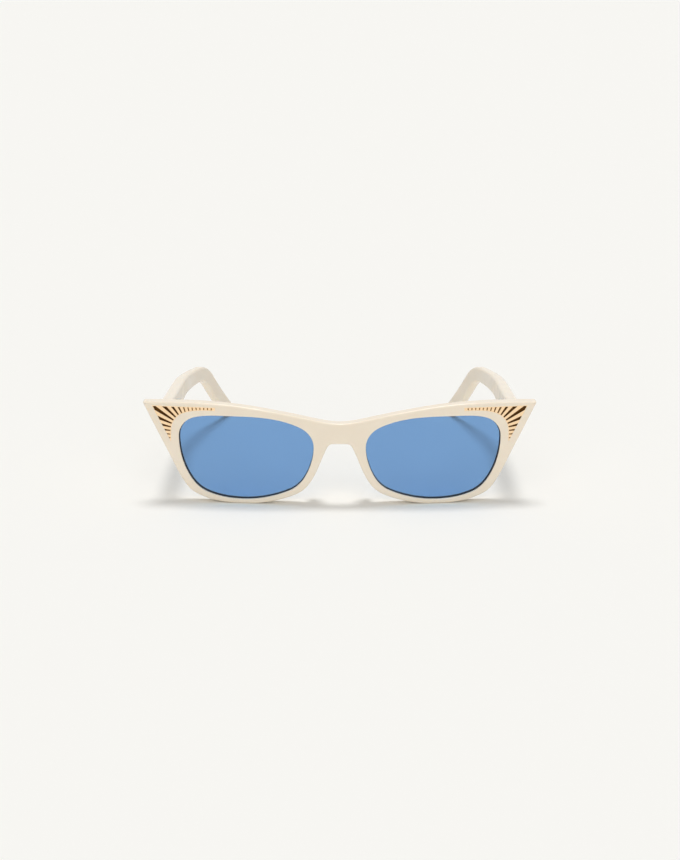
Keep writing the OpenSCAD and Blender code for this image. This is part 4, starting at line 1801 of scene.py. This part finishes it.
    def _pocket(self, piece: bpy.types.Object, side: Side) -> None:
        """Cuts the pocket that the hinge plate lies in."""
        size, shell = self.layout, Shell()
        shell.block(
            (size.inner_x - 1, 0, size.hinge_z - self.plate_h / 2),
            (size.inner_x + size.plate_t, size.rivet_y + 2.4, size.hinge_z + self.plate_h / 2),
            0.05,
        )
        cutter = shell.as_object("pocket", [], side)
        cut = piece.modifiers.new("Pocket", "BOOLEAN")
        cut.operation, cut.object, cut.solver = "DIFFERENCE", cutter, "EXACT"
        mesh = evaluated(piece)
        piece.modifiers.remove(cut)
        old = piece.data
        piece.data = mesh
        bpy.data.meshes.remove(old)
        discard(cutter)
        mesh.shade_smooth()
        mesh.set_sharp_from_angle(angle=CREASE)


# ---- the studio ----
@dataclass(frozen=True)
class Lamp:
    """A far lamp: how bright it makes a white sheet that faces it, how wide it looks in degrees,
    and its height over the horizon in front in degrees, which is past 90 where it is behind."""

    name: str
    share: float
    size: float
    rise: float

    def build(self) -> None:
        """Builds the lamp."""
        data = bpy.data.lights.new(self.name, "SUN")
        data.energy = self.share * math.pi
        data.angle = math.radians(self.size)
        lamp = bpy.data.objects.new(self.name, data)
        turn = math.radians(self.rise)
        lamp.rotation_mode = "QUATERNION"
        lamp.rotation_quaternion = Vector((0, -math.cos(turn), math.sin(turn))).to_track_quat(
            "Z", "Y"
        )
        bpy.context.scene.collection.objects.link(lamp)


@dataclass
class Studio:
    """A pale table, an even sky, lamps overhead and a very soft one in front."""

    paper: str = "#F7F6F2"
    sky: float = 0.38
    lamps: tuple[Lamp, ...] = (
        Lamp("softbox overhead", 0.43, 17.0, 100.0),
        Lamp("ceiling", 0.07, 70.0, 94.0),
        Lamp("screen in front", 0.31, 70.0, 24.0),
    )
    table: float = 20.0
    drop: float = 0.02

    def build(self) -> None:
        """Builds the table, the sky and the lamps."""
        self._table()
        self._sky()
        for lamp in self.lamps:
            lamp.build()

    def _table(self) -> None:
        """A matt pale sheet that the sunglasses stand on."""
        half = self.table / 2
        mesh = bpy.data.meshes.new("table")
        signs = ((-1, -1), (1, -1), (1, 1), (-1, 1))
        corners = [(sx * half, sy * half, -self.drop * MM) for sx, sy in signs]
        mesh.from_pydata(corners, [], [(0, 1, 2, 3)])
        material = bpy.data.materials.new("pale matt paper")
        material.use_nodes = True
        tree = material.node_tree
        tree.nodes.clear()
        surface = add_node(
            tree, "ShaderNodeBsdfDiffuse", {"Color": linear(self.paper), "Roughness": 0.0}
        ).outputs[0]
        add_node(tree, "ShaderNodeOutputMaterial", {"Surface": surface})
        mesh.materials.append(material)
        table = bpy.data.objects.new("table", mesh)
        bpy.context.scene.collection.objects.link(table)

    def _sky(self) -> None:
        """An even sky, seen and mirrored as the backdrop's own colour."""
        world = bpy.data.worlds.new("sky")
        world.use_nodes = True
        tree = world.node_tree
        tree.nodes.clear()
        path = add_node(tree, "ShaderNodeLightPath").outputs
        seen: bpy.types.NodeSocket = path["Is Camera Ray"]
        for kind in ("Is Glossy Ray", "Is Transmission Ray"):
            seen = add_node(
                tree, "ShaderNodeMath", {0: seen, 1: path[kind]}, operation="MAXIMUM"
            ).outputs[0]
        light = add_node(
            tree, "ShaderNodeBackground", {"Color": (1, 1, 1, 1), "Strength": self.sky}
        ).outputs[0]
        shown = add_node(
            tree, "ShaderNodeBackground", {"Color": linear(self.paper), "Strength": 1.0}
        ).outputs[0]
        both = add_node(tree, "ShaderNodeMixShader", {0: seen, 1: light, 2: shown}).outputs[0]
        add_node(tree, "ShaderNodeOutputWorld", {"Surface": both})
        bpy.context.scene.world = world


@dataclass(frozen=True)
class Viewpoint:
    """Where the camera stands, and how long its lens is on a 36 mm sensor."""

    distance: float = 650.0
    elevation: float = 16.0
    focal: float = 73.47
    aim: tuple[float, float] = (0.1, 29.15)

    def build(self) -> None:
        """Builds the scene's camera."""
        data = bpy.data.cameras.new("camera")
        data.sensor_width, data.sensor_fit, data.lens = 36.0, "AUTO", self.focal
        data.clip_start, data.clip_end = 0.01, 100.0
        camera = bpy.data.objects.new("camera", data)
        turn = math.radians(self.elevation)
        back = Vector((0, -math.cos(turn), math.sin(turn)))
        front_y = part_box("front_frame")[0].y
        target = Vector((self.aim[0] * MM, front_y, self.aim[1] * MM))
        camera.location = target + back * self.distance * MM
        camera.rotation_mode = "QUATERNION"
        camera.rotation_quaternion = back.to_track_quat("Z", "Y")
        bpy.context.scene.collection.objects.link(camera)
        bpy.context.scene.camera = camera


class Sunglasses:
    """The whole object: builds each piece and rides it on its body."""

    def __init__(self, frame: dict[str, object]) -> None:
        """Keeps the frame, and makes the finishes and the builders of each sub-assembly."""
        self.nodes = frame["nodes"]
        self.layout = Layout()
        self.finishes = Finishes.build(self.layout)
        shared = (self.layout, self.finishes)
        self.front = Front(*shared)
        self.lens = Lens(*shared)
        self.trim = SunrayTrim(*shared)
        self.pad = NosePad(*shared)
        self.hinge = Hinge(*shared, Fastenings(*shared))
        self.temple = Temple(*shared)

    def place(self, piece: bpy.types.Object, node: str, slot: str) -> None:
        """Lets a piece stand for a CAD node, on that node's body.

        Args:
            piece: the finished piece.
            node: the CAD node that it replaces.
            slot: the record's material slot; not used.
        """
        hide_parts(node)
        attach(piece, self.nodes[node]["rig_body"])
        LOG.info("%s stands for %s, %d faces", piece.name, node, len(piece.data.polygons))

    def build(self) -> None:
        """Builds every piece."""
        for name in self.layout.differs():
            LOG.warning("the sizes here no longer describe %s", name)
        self.place(self.front.build(), "front_frame", "ivory_acetate")
        for side in Side:
            self.place(self.lens.build(side), side.named("lens"), "blue_lens")
            self.place(self.trim.build(side), side.named("trim"), "gold_trim")
            self.place(self.pad.build(side), side.named("nose_pad"), "ivory_acetate")
            self.place(self.hinge.front_leaf(side), side.named("front_hinge"), "steel_hinge")
            self.place(self.hinge.temple_leaf(side), side.named("temple_hinge"), "steel_hinge")
            self.place(self.hinge.screw(side), side.named("hinge_screw"), "steel_hinge")
            self.place(self.hinge.front_rivets(side), side.named("front_rivets"), "steel_hinge")
            self.place(self.hinge.temple_rivets(side), side.named("temple_rivets"), "steel_hinge")
            self.place(self.temple.build(side), side.named("temple"), "ivory_acetate")
            self._dress(side.named("temple_core"), self.finishes.core)

    def _dress(self, node: str, finish: bpy.types.Material) -> None:
        """Gives a CAD node that stays its finish."""
        self.nodes[node].data.materials.clear()
        self.nodes[node].data.materials.append(finish)
        LOG.info("%s stays, in %s", node, finish.name)


def main() -> None:
    """Builds the sunglasses, the studio and the camera."""
    logging.basicConfig(level=logging.INFO, format="%(message)s")
    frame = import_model()
    Viewpoint().build()
    Sunglasses(frame).build()
    Studio().build()
    bpy.context.scene.view_settings.view_transform = "Standard"


if __name__ == "__main__":
    main()
